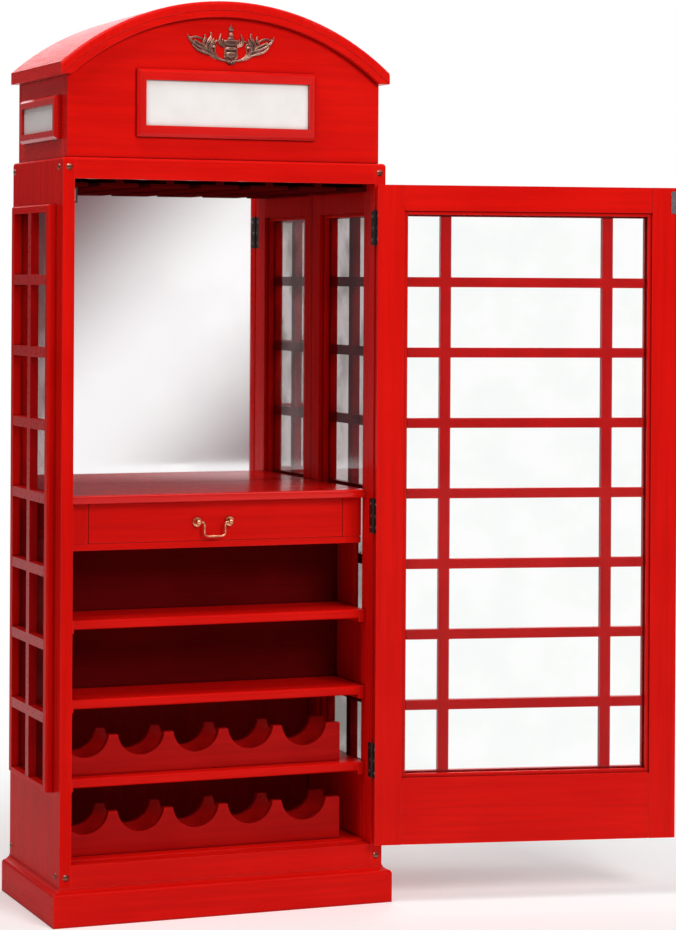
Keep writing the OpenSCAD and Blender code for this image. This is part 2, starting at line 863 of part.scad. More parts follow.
// Domed stud that lies on y = 0 and stands out to -y
module stud() {
    dome_r = (pow(stud_d / 2, 2) + pow(stud_h, 2)) / (2 * stud_h);
    intersection() {
        translate([0, dome_r - stud_h, 0]) sphere(dome_r);
        rotate([90, 0, 0]) cylinder(d = stud_d, h = stud_h);
    }
}

module corner_studs() {
    color(dark_red)
        for (z = [plinth_h + stud_up, body_top - stud_down])
            both_sides() {
                translate([side_x - stud_in, 0, z]) stud();
                for (y = [2 * stud_in, body_d - stud_in])
                    translate([side_x, y, z]) rotate([0, 0, 90]) stud();
            }
}

module mirror_plate() {
    color(silvered) block([-in_x, in_x], [mirror_y, back_y], [counter_z, counter_z + mirror_h]);
}

// Middle lines of the stemware rails; the first and last rails lie on the walls
stem_pitch = 2 * in_x / stem_slots;
stem_y = [stem_front, mirror_y - stem_back_gap];

module stemware_webs() {
    color(deep_red)
        for (i = [0 : stem_slots]) {
            x = i * stem_pitch - in_x;
            block([max(x - stem_web_t / 2, -in_x), min(x + stem_web_t / 2, in_x)], stem_y,
                [ceiling_z - stem_web_h, ceiling_z]);
        }
}

module stemware_flanges() {
    half = (stem_pitch - stem_slot_w) / 2;
    color(deep_red)
        for (i = [0 : stem_slots]) {
            x = i * stem_pitch - in_x;
            block([max(x - half, -in_x), min(x + half, in_x)], stem_y,
                [ceiling_z - stem_web_h - stem_flange_t, ceiling_z - stem_web_h]);
        }
}

module counter_board() {
    color(red) nosed_board([-in_x, in_x], [shelf_front, back_y], counter_z, counter_t);
}

module drawer_divider() {
    color(red)
        block([-in_x, in_x], [drawer_front_y, back_y], [divider_top - divider_t, divider_top]);
}

module drawer_fillers() {
    color(red)
        for (x = [[-in_x, filler_x[0]], [filler_x[1], in_x]])
            block(x, [drawer_front_y, drawer_box_y], [divider_top, counter_z - counter_t]);
}

module drawer_guides() {
    y = [drawer_box_y, back_y];
    color(deep_red)
        for (x = [[-in_x, filler_x[0]], [filler_x[1], in_x]])
            block(x, y, [divider_top, divider_top + guide_h]);
}

module upper_shelf() {
    color(red)
        nosed_board([-shelf_x, shelf_x], [shelf_front, inner_back_y], upper_shelf_z, shelf_t);
}

module middle_shelf() {
    color(red) nosed_board([-shelf_x, shelf_x], [shelf_front, back_y], middle_shelf_z, shelf_t);
}

module rack_shelf() {
    color(red) nosed_board([-shelf_x, shelf_x], [shelf_front, back_y], rack_shelf_z, shelf_t);
}

module shelf_cleats() {
    ends = [[upper_shelf_z, inner_back_y], [middle_shelf_z, back_y], [rack_shelf_z, back_y]];
    color(red)
        for (end = ends)
            both_sides()
                block([shelf_x, in_x], [shelf_front, end[1]], [end[0] - cleat_h, end[0]]);
}

module inner_back_panel() {
    color(dark_red)
        block([-in_x, in_x], [inner_back_y, inner_back_y + inner_back_t],
            [middle_shelf_z, divider_top - divider_t]);
}

// Thin boards inside the side windows, beside the open shelves
module window_liners() {
    shelf_foot = middle_shelf_z - cleat_h;
    color(deep_red)
        both_sides() {
            block([in_x, in_x + liner_t], [side_open_y[0] + slip, side_open_y[1] - slip],
                [shelf_foot, upper_shelf_z - cleat_h]);
            block([in_x, in_x + liner_t], [liner_front_y, side_open_y[1] - slip],
                [upper_shelf_z - cleat_h + 2 * glue_line, divider_top]);
        }
}

// Board with a row of scallops for bottles, from the left wall to its right shoulder
module rack_board(y, foot, h) {
    color(deep_red)
        difference() {
            block([-in_x, rack_end_x], [y, y + rack_t], [foot, foot + h]);
            for (i = [0 : scallops - 1])
                translate([scallop_half - in_x + i * scallop_pitch, y - past,
                    foot + h - scallop_depth + scallop_r])
                    rotate([-90, 0, 0]) cylinder(r = scallop_r, h = rack_t + 2 * past, $fn = broad);
        }
}

// Front board and rear board of the upper bottle rack
module upper_rack() {
    rack_board(rack_front_y, rack_shelf_z, upper_rack_h);
    rack_board(rack_rear_y, rack_shelf_z, upper_rack_h);
}

// Front board and rear board of the lower bottle rack
module lower_rack() {
    rack_board(rack_front_y, bottom_z, lower_rack_h);
    rack_board(rack_rear_y, bottom_z, lower_rack_h);
}

// Distance of the outer screws from the ends of a leaf
leaf_screw_in = 12;
// Distance of the outer screws and of the middle one from the hinge's axis
leaf_screw_y = [17, 11];

// Places of the screws on a leaf, drawn from the hinge's axis, which go in along x
module leaf_screw_places() {
    high = hinge_h / 2 - leaf_screw_in;
    for (place = [[-high, leaf_screw_y[0]], [0, leaf_screw_y[1]], [high, leaf_screw_y[0]]])
        translate([0, place[1], place[0]]) rotate([0, 90, 0]) children();
}

module pilot_hole() {
    cylinder(r = screw_r + pin_clear, h = leaf_t + screw_len + past);
}

// Wood screw whose head lies on z = 0
module screw() {
    translate([0, 0, -screw_head_h]) cylinder(r = screw_head_r, h = screw_head_h);
    cylinder(r = screw_r, h = leaf_t + screw_len);
}

// Mortise for a leaf whose face is at x = 0
module leaf_seat() {
    block([-past, leaf_t], [0, leaf_reach + slip], [-hinge_h / 2 - slip, hinge_h / 2 + slip]);
}

// Hinge leaf of thickness along x, from the axis back, with every second knuckle
module hinge_leaf(x, first) {
    pitch = hinge_h / knuckles;
    own = [for (i = [first : 2 : knuckles - 1]) i * pitch - hinge_h / 2];
    others = [for (i = [1 - first : 2 : knuckles - 1]) i * pitch - hinge_h / 2];
    difference() {
        union() {
            block(x, [0, leaf_reach], [-hinge_h / 2, hinge_h / 2]);
            for (z = own)
                translate([0, 0, z]) cylinder(r = knuckle_r, h = pitch);
        }
        for (z = others)
            translate([0, 0, z - slip]) cylinder(r = knuckle_r + slip, h = pitch + 2 * slip);
        translate([0, 0, -hinge_h / 2 - past])
            cylinder(r = pin_r + pin_clear, h = hinge_h + 2 * past);
        translate([x[0] - past, 0, 0])
            leaf_screw_places() cylinder(r = screw_r + slip, h = leaf_t + 2 * past);
    }
}

module post_hinge_leaves() {
    color(black)
        for (z = hinge_zs)
            translate([in_x, hinge_y, z]) hinge_leaf([0, leaf_t], 0);
}

module hinge_pins() {
    head_h = 1.5;
    color(black)
        for (z = hinge_zs)
            translate([in_x, hinge_y, z - hinge_h / 2]) {
                cylinder(r = pin_r, h = hinge_h + slip);
                translate([0, 0, hinge_h + slip]) cylinder(r = knuckle_r, h = head_h);
            }
}

// Places of the catch and its magnet
catch_z = door_top - catch_drop;
catch_front = door_t + strike_t + screw_head_h + slip;
catch_y = [catch_front, catch_front + catch_d];
magnet_t = 6;
magnet_side = 4;
magnet_x = [magnet_side - in_x, catch_w - magnet_side - in_x];
magnet_z = [catch_z - catch_h / 2 + magnet_side, catch_z + catch_h / 2 - magnet_side];

module body_screws() {
    color(steel)
        for (z = hinge_zs)
            translate([in_x, hinge_y, z]) leaf_screw_places() screw();
}

module catch_body() {
    color(black)
        difference() {
            block([-in_x, catch_w - in_x], catch_y, [catch_z - catch_h / 2, catch_z + catch_h / 2]);
            block([magnet_x[0] - slip, magnet_x[1] + slip],
                [catch_y[0] - past, catch_y[0] + magnet_t],
                [magnet_z[0] - slip, magnet_z[1] + slip]);
        }
}

module catch_magnet() {
    color(steel) block(magnet_x, [catch_y[0], catch_y[0] + magnet_t], magnet_z);
}

module drawer_front() {
    color(red)
        block(drawer_x, [drawer_front_y, drawer_box_y], [drawer_foot, drawer_top]);
}

module drawer_sides() {
    color(deep_red)
        for (x = [[drawer_x[0], drawer_in_x[0]], [drawer_in_x[1], drawer_x[1]]])
            block(x, [drawer_box_y, drawer_back_y], [drawer_foot, drawer_foot + drawer_side_h]);
}

module drawer_back() {
    color(deep_red)
        block(drawer_in_x, [drawer_back_y - drawer_side_t, drawer_back_y],
            [drawer_foot, drawer_foot + drawer_side_h]);
}

module drawer_bottom() {
    color(deep_red)
        block(drawer_in_x, [drawer_box_y, drawer_back_y - drawer_side_t],
            [drawer_foot, drawer_foot + drawer_bottom_t]);
}

// How far the ends of the bail lie in past the middles of their balls, and their seats' depth
bail_bite = 2;
bail_end = bail_centres / 2 + bail_bite;

module drawer_handle_posts() {
    color(brass)
        translate([bail_x, 0, bail_z])
            both_sides()
                difference() {
                    translate([bail_centres / 2, 0, 0]) {
                        translate([0, drawer_front_y, 0])
                            rotate([90, 0, 0]) cylinder(r = rosette_r, h = rosette_t);
                        translate([0, drawer_front_y, 0])
                            rotate([90, 0, 0]) cylinder(r = post_ball_r / 2, h = bail_stand);
                        translate([0, bail_y, 0]) sphere(post_ball_r);
                    }
                    translate([0, bail_y, 0])
                        rotate([0, 90, 0]) cylinder(r = bail_r + pin_clear, h = bail_end + slip);
                }
}

// Round wire along a quarter turn of radius r from +x to +z, about the origin
module wire_bend(r, wire) {
    rotate([90, 0, 0]) rotate_extrude(angle = 90) translate([r, 0]) circle(wire);
}

// Half of the swinging bail on the right of its middle, with its pivot at z = 0
module half_bail() {
    turn = 5;
    foot_turn = 9;
    ball_gap = 2;
    leg_x = bail_centres / 2 - post_ball_r - ball_gap - turn;
    translate([leg_x + turn, 0, 0])
        rotate([0, 90, 0]) cylinder(r = bail_r, h = bail_end - leg_x - turn);
    translate([leg_x + turn, 0, -turn]) rotate([0, -90, 0]) wire_bend(turn, bail_r);
    translate([leg_x, 0, foot_turn - bail_drop])
        cylinder(r = bail_r, h = bail_drop - foot_turn - turn);
    translate([leg_x - foot_turn, 0, foot_turn - bail_drop])
        rotate([0, 90, 0]) wire_bend(foot_turn, bail_r);
    translate([0, 0, -bail_drop]) rotate([0, 90, 0]) cylinder(r = bail_r, h = leg_x - foot_turn);
    translate([0, 0, -bail_drop])
        rotate([0, 90, 0]) cylinder(r = bail_grip_r, h = (leg_x - foot_turn) / 2);
}

module drawer_bail() {
    color(brass)
        translate([bail_x, bail_y, bail_z])
            both_sides() half_bail();
}

// Turn what is drawn on the closed door to the angle at which it stands open
module open_door() {
    translate([in_x, hinge_y, 0])
        rotate([0, 0, door_angle])
            translate([-in_x, -hinge_y, 0]) children();
}

module door_stiles() {
    color(red)
        open_door()
            difference() {
                both_sides() block([panel_x, door_x], [0, door_t], [door_foot, door_top]);
                for (z = hinge_zs)
                    translate([door_x, hinge_y, z])
                        mirror([1, 0, 0]) {
                            leaf_seat();
                            leaf_screw_places() pilot_hole();
                        }
                strike_screw_places() pilot_hole();
            }
}

module door_rails() {
    color(red)
        open_door()
            for (z = [[door_foot, panel_low], [panel_high, door_top]])
                block([-panel_x, panel_x], [0, door_t], z);
}

module door_outer_frame() {
    half = lattice_x + door_frame_w;
    color(red)
        open_door()
            translate([0, 0, lattice_low - door_frame_w])
                raised_frame(2 * half, lattice_high - lattice_low + 2 * door_frame_w, door_out,
                    frame_bevel, door_frame_w, door_frame_w, door_frame_w);
}

module door_bars() {
    color(red)
        open_door()
            translate([0, 0, lattice_low])
                glazing_bars(2 * lattice_x, lattice_high - lattice_low, door_out,
                    [-door_bar_x, door_bar_x]);
}

module door_glass() {
    reach = panel_x - slip;
    color(clear)
        open_door() block([-reach, reach], [0, glass_t], [panel_low + slip, panel_high - slip]);
}

module door_beads() {
    color(red)
        open_door()
            translate([0, glass_t, panel_low])
                bead_frame(2 * panel_x, panel_high - panel_low, bead_t, bead_w);
}

module door_hinge_leaves() {
    color(black)
        open_door()
            for (z = hinge_zs)
                translate([in_x, hinge_y, z]) hinge_leaf([-door_gap - leaf_t, -door_gap], 1);
}

// How far the strike plate stands out past the door's free edge
strike_out = 1;
strike_x = [-door_x - strike_out, strike_w - door_x - strike_out];

// Places of the strike plate's screws, which go in along -y
module strike_screw_places() {
    edge = 5;
    for (z = [-strike_h / 3, strike_h / 3])
        translate([strike_x[1] - edge, door_t + strike_t, catch_z + z])
            rotate([90, 0, 0]) children();
}

module door_screws() {
    color(steel)
        open_door() {
            for (z = hinge_zs)
                translate([door_x, hinge_y, z])
                    mirror([1, 0, 0]) leaf_screw_places() screw();
            strike_screw_places() screw();
        }
}

module strike_plate() {
    corner = 4;
    color(steel)
        open_door()
            difference() {
                along_y([door_t, door_t + strike_t]) {
                    translate([strike_x[0] + corner, catch_z - strike_h / 2])
                        square([strike_w - 2 * corner, strike_h]);
                    translate([strike_x[0], catch_z - strike_h / 2 + corner])
                        square([strike_w, strike_h - 2 * corner]);
                    for (cx = [strike_x[0] + corner, strike_x[1] - corner], cz = [-1, 1])
                        translate([cx, catch_z + cz * (strike_h / 2 - corner)]) circle(corner);
                }
                strike_screw_places()
                    translate([0, 0, -past]) cylinder(r = screw_r + slip, h = strike_t + 2 * past);
            }
}

// Place of the door's pull, and the size of the round eye that holds its ring
ring_x = ring_in - door_x;
ring_z = door_foot + ring_rise;
eye_r = 4.8;
eye_w = 8;

module door_pull_post() {
    color(brass)
        open_door()
            translate([ring_x, 0, ring_z])
                difference() {
                    union() {
                        rotate([90, 0, 0]) cylinder(r = rosette_r, h = rosette_t);
                        rotate([90, 0, 0]) cylinder(r = eye_r / 2, h = ring_stand - eye_r / 2);
                        translate([-eye_w / 2, -ring_stand, 0])
                            rotate([0, 90, 0]) cylinder(r = eye_r, h = eye_w);
                    }
                    translate([-rosette_r, -ring_stand, 0])
                        rotate([0, 90, 0]) cylinder(r = ring_wire_r + pin_clear, h = 2 * rosette_r);
                }
}

// Half of the drop ring on the right of its middle, with its pivot at z = 0
module half_ring() {
    turn = 4.5;
    leg = 5;
    rotate([0, 90, 0]) cylinder(r = ring_wire_r, h = ring_r - turn);
    translate([ring_r - turn, 0, -turn]) wire_bend(turn, ring_wire_r);
    translate([ring_r, 0, -turn - leg]) cylinder(r = ring_wire_r, h = leg);
    translate([0, 0, -turn - leg]) rotate([0, 90, 0]) wire_bend(ring_r, ring_wire_r);
}

module door_ring() {
    color(brass)
        open_door()
            translate([ring_x, -ring_stand, ring_z])
                both_sides() half_ring();
}

plinth_front();
plinth_returns();
front_rails();
left_front_post();
right_front_post();
side_frames();
bottom_board();
back_panel();
top_board();
ceiling_board();
window_frames();
window_bars();
window_glass();
window_beads();
header_front();
header_box();
roof_panel();
arch_trim();
eave_trims();
sign_frames();
sign_plaques();
crest();
corner_studs();
mirror_plate();  // mirror
stemware_webs();
stemware_flanges();
counter_board();
drawer_divider();
drawer_fillers();
drawer_guides();
upper_shelf();
middle_shelf();
rack_shelf();
shelf_cleats();
inner_back_panel();
window_liners();
upper_rack();
lower_rack();
post_hinge_leaves();
body_screws();
catch_body();
catch_magnet();
hinge_pins();
drawer_front();
drawer_sides();
drawer_back();
drawer_bottom();
drawer_handle_posts();
drawer_bail();
door_stiles();
door_rails();
door_outer_frame();
door_bars();
door_glass();
door_beads();
door_hinge_leaves();
door_screws();
strike_plate();
door_pull_post();
door_ring();
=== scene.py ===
import math
import bmesh
import bpy
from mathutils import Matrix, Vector


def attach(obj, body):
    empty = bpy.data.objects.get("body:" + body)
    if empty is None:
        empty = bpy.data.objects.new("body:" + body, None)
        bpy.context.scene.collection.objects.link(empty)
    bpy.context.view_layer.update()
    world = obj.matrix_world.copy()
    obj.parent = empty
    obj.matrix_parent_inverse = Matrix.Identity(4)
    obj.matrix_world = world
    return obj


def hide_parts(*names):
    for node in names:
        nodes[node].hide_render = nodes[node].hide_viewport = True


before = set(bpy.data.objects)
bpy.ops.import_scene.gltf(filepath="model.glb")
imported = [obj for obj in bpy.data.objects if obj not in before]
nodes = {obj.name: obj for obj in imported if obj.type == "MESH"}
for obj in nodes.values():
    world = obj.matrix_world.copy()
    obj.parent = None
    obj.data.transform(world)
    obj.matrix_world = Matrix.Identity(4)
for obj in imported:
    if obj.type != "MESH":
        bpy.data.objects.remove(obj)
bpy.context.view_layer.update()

mm = 0.001
print("frame loaded:", len(nodes), "parts")


# Helpers for the shader trees

def newMaterial(name):
    material = bpy.data.materials.new(name)
    material.use_nodes = True
    tree = material.node_tree
    tree.nodes.clear()
    return material, tree


def addNode(tree, kind, place=(0, 0), **values):
    node = tree.nodes.new(kind)
    node.location = place
    for key, value in values.items():
        setattr(node, key, value)
    return node


def feed(tree, socket, value):
    # The output of another node is linked to the socket, and a plain value is set on it
    if hasattr(value, "links"):
        tree.links.new(value, socket)
    else:
        socket.default_value = value


def mixColours(tree, factor, first, second, place=(0, 0)):
    node = addNode(tree, "ShaderNodeMix", place, data_type="RGBA")
    for index, value in ((0, factor), (6, first), (7, second)):
        feed(tree, node.inputs[index], value)
    return node.outputs[2]


def mathNode(tree, operation, first, second=0.0, place=(0, 0), clamp=False):
    node = addNode(tree, "ShaderNodeMath", place, operation=operation, use_clamp=clamp)
    feed(tree, node.inputs[0], first)
    feed(tree, node.inputs[1], second)
    return node.outputs[0]


def rangeNode(tree, value, low, high, outLow=0.0, outHigh=1.0, place=(0, 0)):
    node = addNode(tree, "ShaderNodeMapRange", place, interpolation_type="SMOOTHSTEP")
    tree.links.new(value, node.inputs[0])
    for index, number in enumerate((low, high, outLow, outHigh), start=1):
        node.inputs[index].default_value = number
    return node.outputs[0]


def noiseNode(tree, vector, scale, detail=2.0, place=(0, 0)):
    node = addNode(tree, "ShaderNodeTexNoise", place)
    tree.links.new(vector, node.inputs["Vector"])
    feed(tree, node.inputs["Scale"], scale)
    node.inputs["Detail"].default_value = detail
    return node.outputs[0]


def startGroup(name, inputs, outputs):
    group = bpy.data.node_groups.new(name, "ShaderNodeTree")
    for socketName, kind, value in inputs:
        socket = group.interface.new_socket(name=socketName, in_out="INPUT", socket_type=kind)
        socket.default_value = value
    for socketName, kind in outputs:
        group.interface.new_socket(name=socketName, in_out="OUTPUT", socket_type=kind)
    return group, addNode(group, "NodeGroupInput", (-900, 0)), addNode(group, "NodeGroupOutput", (900, 0))


def useGroup(tree, group, place=(0, 0), **values):
    node = addNode(tree, "ShaderNodeGroup", place)
    node.node_tree = group
    for key, value in values.items():
        node.inputs[key.replace("_", " ")].default_value = value
    return node


def colour(red, green, blue):
    # sRGB 0 to 255, to the linear values that a socket takes
    def linear(value):
        value /= 255
        return value / 12.92 if value <= 0.04045 else ((value + 0.055) / 1.055) ** 2.4
    return (linear(red), linear(green), linear(blue), 1.0)


# Shared effects

def buildBrushStreaks():
    # Long faint streaks that a brush leaves along a board, and slow clouds in the coat
    group, source, target = startGroup("brushStreaks", [
        ("Turn", "NodeSocketFloat", 0.0),
        ("Spread", "NodeSocketVector", (60, 60, 2)),
        ("Cloud Scale", "NodeSocketFloat", 3.0)],
        [("Streaks", "NodeSocketFloat"),
         ("Fine Streaks", "NodeSocketFloat"),
         ("Clouds", "NodeSocketFloat")])
    place = addNode(group, "ShaderNodeTexCoord", (-900, 300))
    turn = addNode(group, "ShaderNodeVectorRotate", (-700, 300), rotation_type="Z_AXIS")
    group.links.new(place.outputs["Object"], turn.inputs["Vector"])
    group.links.new(source.outputs["Turn"], turn.inputs["Angle"])
    spread = addNode(group, "ShaderNodeVectorMath", (-500, 300), operation="MULTIPLY")
    group.links.new(turn.outputs[0], spread.inputs[0])
    group.links.new(source.outputs["Spread"], spread.inputs[1])
    broad = noiseNode(group, spread.outputs[0], 1.0, 3.0, (-300, 400))
    fine = noiseNode(group, spread.outputs[0], 4.5, 2.0, (-300, 150))
    clouds = noiseNode(group, place.outputs["Object"], source.outputs["Cloud Scale"], 3.0, (-300, -100))
    group.links.new(rangeNode(group, broad, 0.35, 0.68), target.inputs["Streaks"])
    group.links.new(rangeNode(group, fine, 0.3, 0.72), target.inputs["Fine Streaks"])
    group.links.new(rangeNode(group, clouds, 0.3, 0.7), target.inputs["Clouds"])
    return group


def buildEdgeWearAndHighlight():
    # Mask of the outer edges, broken up by a noise; the paler tone it drives is partly wear and partly a
    # painted highlight
    group, source, target = startGroup("edgeWearAndHighlight", [
        ("Radius", "NodeSocketFloat", 0.0015),
        ("Breakup", "NodeSocketFloat", 40.0)],
        [("Edges", "NodeSocketFloat")])
    rounded = addNode(group, "ShaderNodeBevel", (-700, 200), samples=4)
    group.links.new(source.outputs["Radius"], rounded.inputs["Radius"])
    shape = addNode(group, "ShaderNodeNewGeometry", (-700, 0))
    compare = addNode(group, "ShaderNodeVectorMath", (-500, 100), operation="DOT_PRODUCT")
    group.links.new(rounded.outputs[0], compare.inputs[0])
    group.links.new(shape.outputs["Normal"], compare.inputs[1])
    place = addNode(group, "ShaderNodeTexCoord", (-700, -200))
    noise = noiseNode(group, place.outputs["Object"], source.outputs["Breakup"], place=(-500, -200))
    # The more the rounded normal leans away from the face, the nearer the edge is
    edges = rangeNode(group, compare.outputs["Value"], 0.995, 0.93, place=(-200, 100))
    broken = rangeNode(group, noise, 0.3, 0.6, 0.35, 1.0, (-200, -200))
    group.links.new(mathNode(group, "MULTIPLY", edges, broken), target.inputs["Edges"])
    return group


def buildCornerShade():
    # Mask of the inside corners from ambient occlusion; the darkening it drives is painted shade
    group, source, target = startGroup("cornerShade", [
        ("Reach", "NodeSocketFloat", 0.008)],
        [("Corners", "NodeSocketFloat")])
    around = addNode(group, "ShaderNodeAmbientOcclusion", (-500, 0), samples=6)
    group.links.new(source.outputs["Reach"], around.inputs["Distance"])
    group.links.new(rangeNode(group, around.outputs["AO"], 0.95, 0.35), target.inputs["Corners"])
    return group


def buildOrangePeel():
    # Very fine waviness of a sprayed or brushed coat
    group, source, target = startGroup("orangePeel", [
        ("Scale", "NodeSocketFloat", 260.0)],
        [("Height", "NodeSocketFloat")])
    place = addNode(group, "ShaderNodeTexCoord", (-600, 0))
    noise = noiseNode(group, place.outputs["Object"], source.outputs["Scale"], 1.0, (-400, 0))
    group.links.new(noise, target.inputs["Height"])
    return group


def buildTarnish():
    # Cloudy patches and small specks of dulled metal
    group, source, target = startGroup("tarnish", [
        ("Patch Scale", "NodeSocketFloat", 60.0),
        ("Speck Scale", "NodeSocketFloat", 900.0)],
        [("Patches", "NodeSocketFloat"), ("Specks", "NodeSocketFloat")])
    place = addNode(group, "ShaderNodeTexCoord", (-600, 0))
    for scale, mask in (("Patch Scale", "Patches"), ("Speck Scale", "Specks")):
        noise = noiseNode(group, place.outputs["Object"], source.outputs[scale], 4.0, (-400, 0))
        group.links.new(rangeNode(group, noise, 0.38, 0.66), target.inputs[mask])
    return group


brushStreaks = buildBrushStreaks()
edgeWearAndHighlight = buildEdgeWearAndHighlight()
cornerShade = buildCornerShade()
orangePeel = buildOrangePeel()
tarnish = buildTarnish()
print("shared effects built")


# Materials

def principled(tree, **values):
    shader = addNode(tree, "ShaderNodeBsdfPrincipled", (500, 0))
    for key, value in values.items():
        shader.inputs[key.replace("_", " ")].default_value = value
    out = addNode(tree, "ShaderNodeOutputMaterial", (800, 0))
    tree.links.new(shader.outputs[0], out.inputs[0])
    return shader


def bumpFrom(tree, shader, height, strength, distance):
    bump = addNode(tree, "ShaderNodeBump", (250, -300))
    bump.inputs["Strength"].default_value = strength
    bump.inputs["Distance"].default_value = distance
    tree.links.new(height, bump.inputs["Height"])
    tree.links.new(bump.outputs[0], shader.inputs["Normal"])


lacquerSettings = {
    "red": colour(218, 16, 9),
    "brightRed": colour(228, 22, 14),
    "darkRed": colour(176, 10, 8),
    "cornerShadeRed": colour(84, 6, 8),
    "edgeRed": colour(232, 66, 60),
    "streaks": 0.26, "fineStreaks": 0.2,        # how far the brush marks darken it
    "edgePaling": 0.4,                         # how far the outer edges pale, partly as wear and partly as a painted highlight
    "cornerShadeDepth": 0.75,                        # how far the painted shade darkens the inside corners
    "edgeWidth": 0.0022, "cornerReach": 0.007,  # in metres
    "cloudScale": 3.2, "edgeBreakup": 35.0, "peelScale": 240.0,
    "roughness": 0.3, "smoother": 0.03, "rougher": 0.04,  # the last two are how far it varies
    "coat": 0.02, "coatRoughness": 0.12, "specular": 0.05,
    "brushRelief": 0.7, "bump": 0.06, "bumpDepth": 0.0004,
}
# A darker copy of the red lacquer for the parts inside the cabinet; the darkening is painted shade, and the
# coat is a little rougher
shadedInsideSettings = dict(lacquerSettings, red=colour(178, 14, 12), brightRed=colour(192, 20, 16),
                      darkRed=colour(140, 8, 8), cornerShadeRed=colour(52, 4, 6), edgeRed=colour(200, 44, 40),
                      roughness=0.36)
# Nearly black red for the inner back panel and the stemware rails; this darkness is painted shade
shadeDarkSettings = dict(lacquerSettings, red=colour(92, 8, 10), brightRed=colour(104, 10, 12),
                    darkRed=colour(74, 6, 8), cornerShadeRed=colour(30, 3, 4), edgeRed=colour(120, 20, 20),
                    roughness=0.5, coat=0.0, specular=0.0)
sideSettings = dict(lacquerSettings, specular=0.01)  # the sides are rubbed down to a duller gloss
# A darker red for the glazing bars, which are seen through the glass; the darkening is painted shade
shadedBarSettings = dict(lacquerSettings, red=colour(190, 14, 15), brightRed=colour(202, 20, 20),
                   darkRed=colour(160, 8, 10), edgeRed=colour(196, 40, 40), coat=0.0, cornerShadeDepth=0.0)
counterSettings = dict(lacquerSettings, coat=0.5, roughness=0.24)
signSettings = dict(lacquerSettings, coat=0.45, darkRed=colour(160, 8, 8))
doorTurn = math.radians(12.3)  # the door stands this far off the cabinet's front
# How close the streaks lie along x, y and z, for each run of a board
spreads = {"up": (70, 70, 2.2), "across": (2.2, 70, 70), "back": (70, 2.2, 70), "even": (20, 20, 20)}


def lacquer(name, settings, run, turn=0.0):
    # Brushed red lacquer; the streaks run along the board, which may stand turned about the upright
    material, tree = newMaterial(name)
    streaks = useGroup(tree, brushStreaks, (-900, 200), Turn=turn, Spread=spreads[run],
                       Cloud_Scale=settings["cloudScale"])
    edges = useGroup(tree, edgeWearAndHighlight, (-900, -50), Radius=settings["edgeWidth"],
                     Breakup=settings["edgeBreakup"])
    corners = useGroup(tree, cornerShade, (-900, -200), Reach=settings["cornerReach"])
    peel = useGroup(tree, orangePeel, (-900, -350), Scale=settings["peelScale"])
    shader = principled(tree, Coat_Weight=settings["coat"], Coat_Roughness=settings["coatRoughness"],
                        Specular_IOR_Level=settings["specular"])
    base = mixColours(tree, streaks.outputs["Clouds"], settings["red"], settings["brightRed"], (-600, 300))
    for column, (mask, strength, tone) in enumerate((
            (streaks.outputs["Streaks"], "streaks", "darkRed"),
            (streaks.outputs["Fine Streaks"], "fineStreaks", "darkRed"),
            # The corner tone is painted shade in the inside corners
            (corners.outputs["Corners"], "cornerShadeDepth", "cornerShadeRed"),
            # The edge tone is partly wear and partly a painted highlight
            (edges.outputs["Edges"], "edgePaling", "edgeRed"))):
        share = mathNode(tree, "MULTIPLY", mask, settings[strength], (200 * column - 600, 100))
        base = mixColours(tree, share, base, settings[tone], (200 * column - 400, 300))
    tree.links.new(base, shader.inputs["Base Color"])
    smooth = settings["roughness"] - settings["smoother"]
    rough = settings["roughness"] + settings["rougher"]
    varied = rangeNode(tree, streaks.outputs["Fine Streaks"], 0.0, 1.0, smooth, rough, (-300, -50))
    tree.links.new(varied, shader.inputs["Roughness"])
    relief = mathNode(tree, "MULTIPLY", streaks.outputs["Fine Streaks"], settings["brushRelief"],
                      (-300, -300))
    height = mathNode(tree, "ADD", relief, peel.outputs["Height"], (-100, -300))
    bumpFrom(tree, shader, height, settings["bump"], settings["bumpDepth"])
    return material


hardwareSettings = {  # roughness is given where it is bright and where it is dull
    "agedBronze": {"bright": colour(150, 110, 88), "dull": colour(58, 36, 30),
                   "roughness": (0.34, 0.6), "metallic": 1.0, "bump": 0.2},
    "darkStuds": {"bright": colour(150, 96, 80), "dull": colour(44, 20, 18),
                  "roughness": (0.2, 0.36), "metallic": 0.9, "bump": 0.08},
    "polishedBrass": {"bright": colour(242, 176, 136), "dull": colour(150, 92, 64),
                      "roughness": (0.14, 0.3), "metallic": 1.0, "bump": 0.08},
    "blackHingeSteel": {"bright": colour(44, 38, 36), "dull": colour(22, 18, 18),
                        "roughness": (0.38, 0.55), "metallic": 0.4, "bump": 0.08},
    "brightSteel": {"bright": colour(200, 200, 204), "dull": colour(140, 138, 140),
                    "roughness": (0.22, 0.4), "metallic": 1.0, "bump": 0.08},
    "catchPlastic": {"bright": colour(52, 44, 42), "dull": colour(34, 28, 28),
                     "roughness": (0.5, 0.6), "metallic": 0.0, "bump": 0.08},
}
hardwareWear = {"patchScale": 70.0, "speckScale": 700.0, "specks": 0.5, "dulled": 0.6,
                "edgeWidth": 0.0006, "edgeBreakup": 120.0, "cornerReach": 0.003, "bumpDepth": 0.0003}


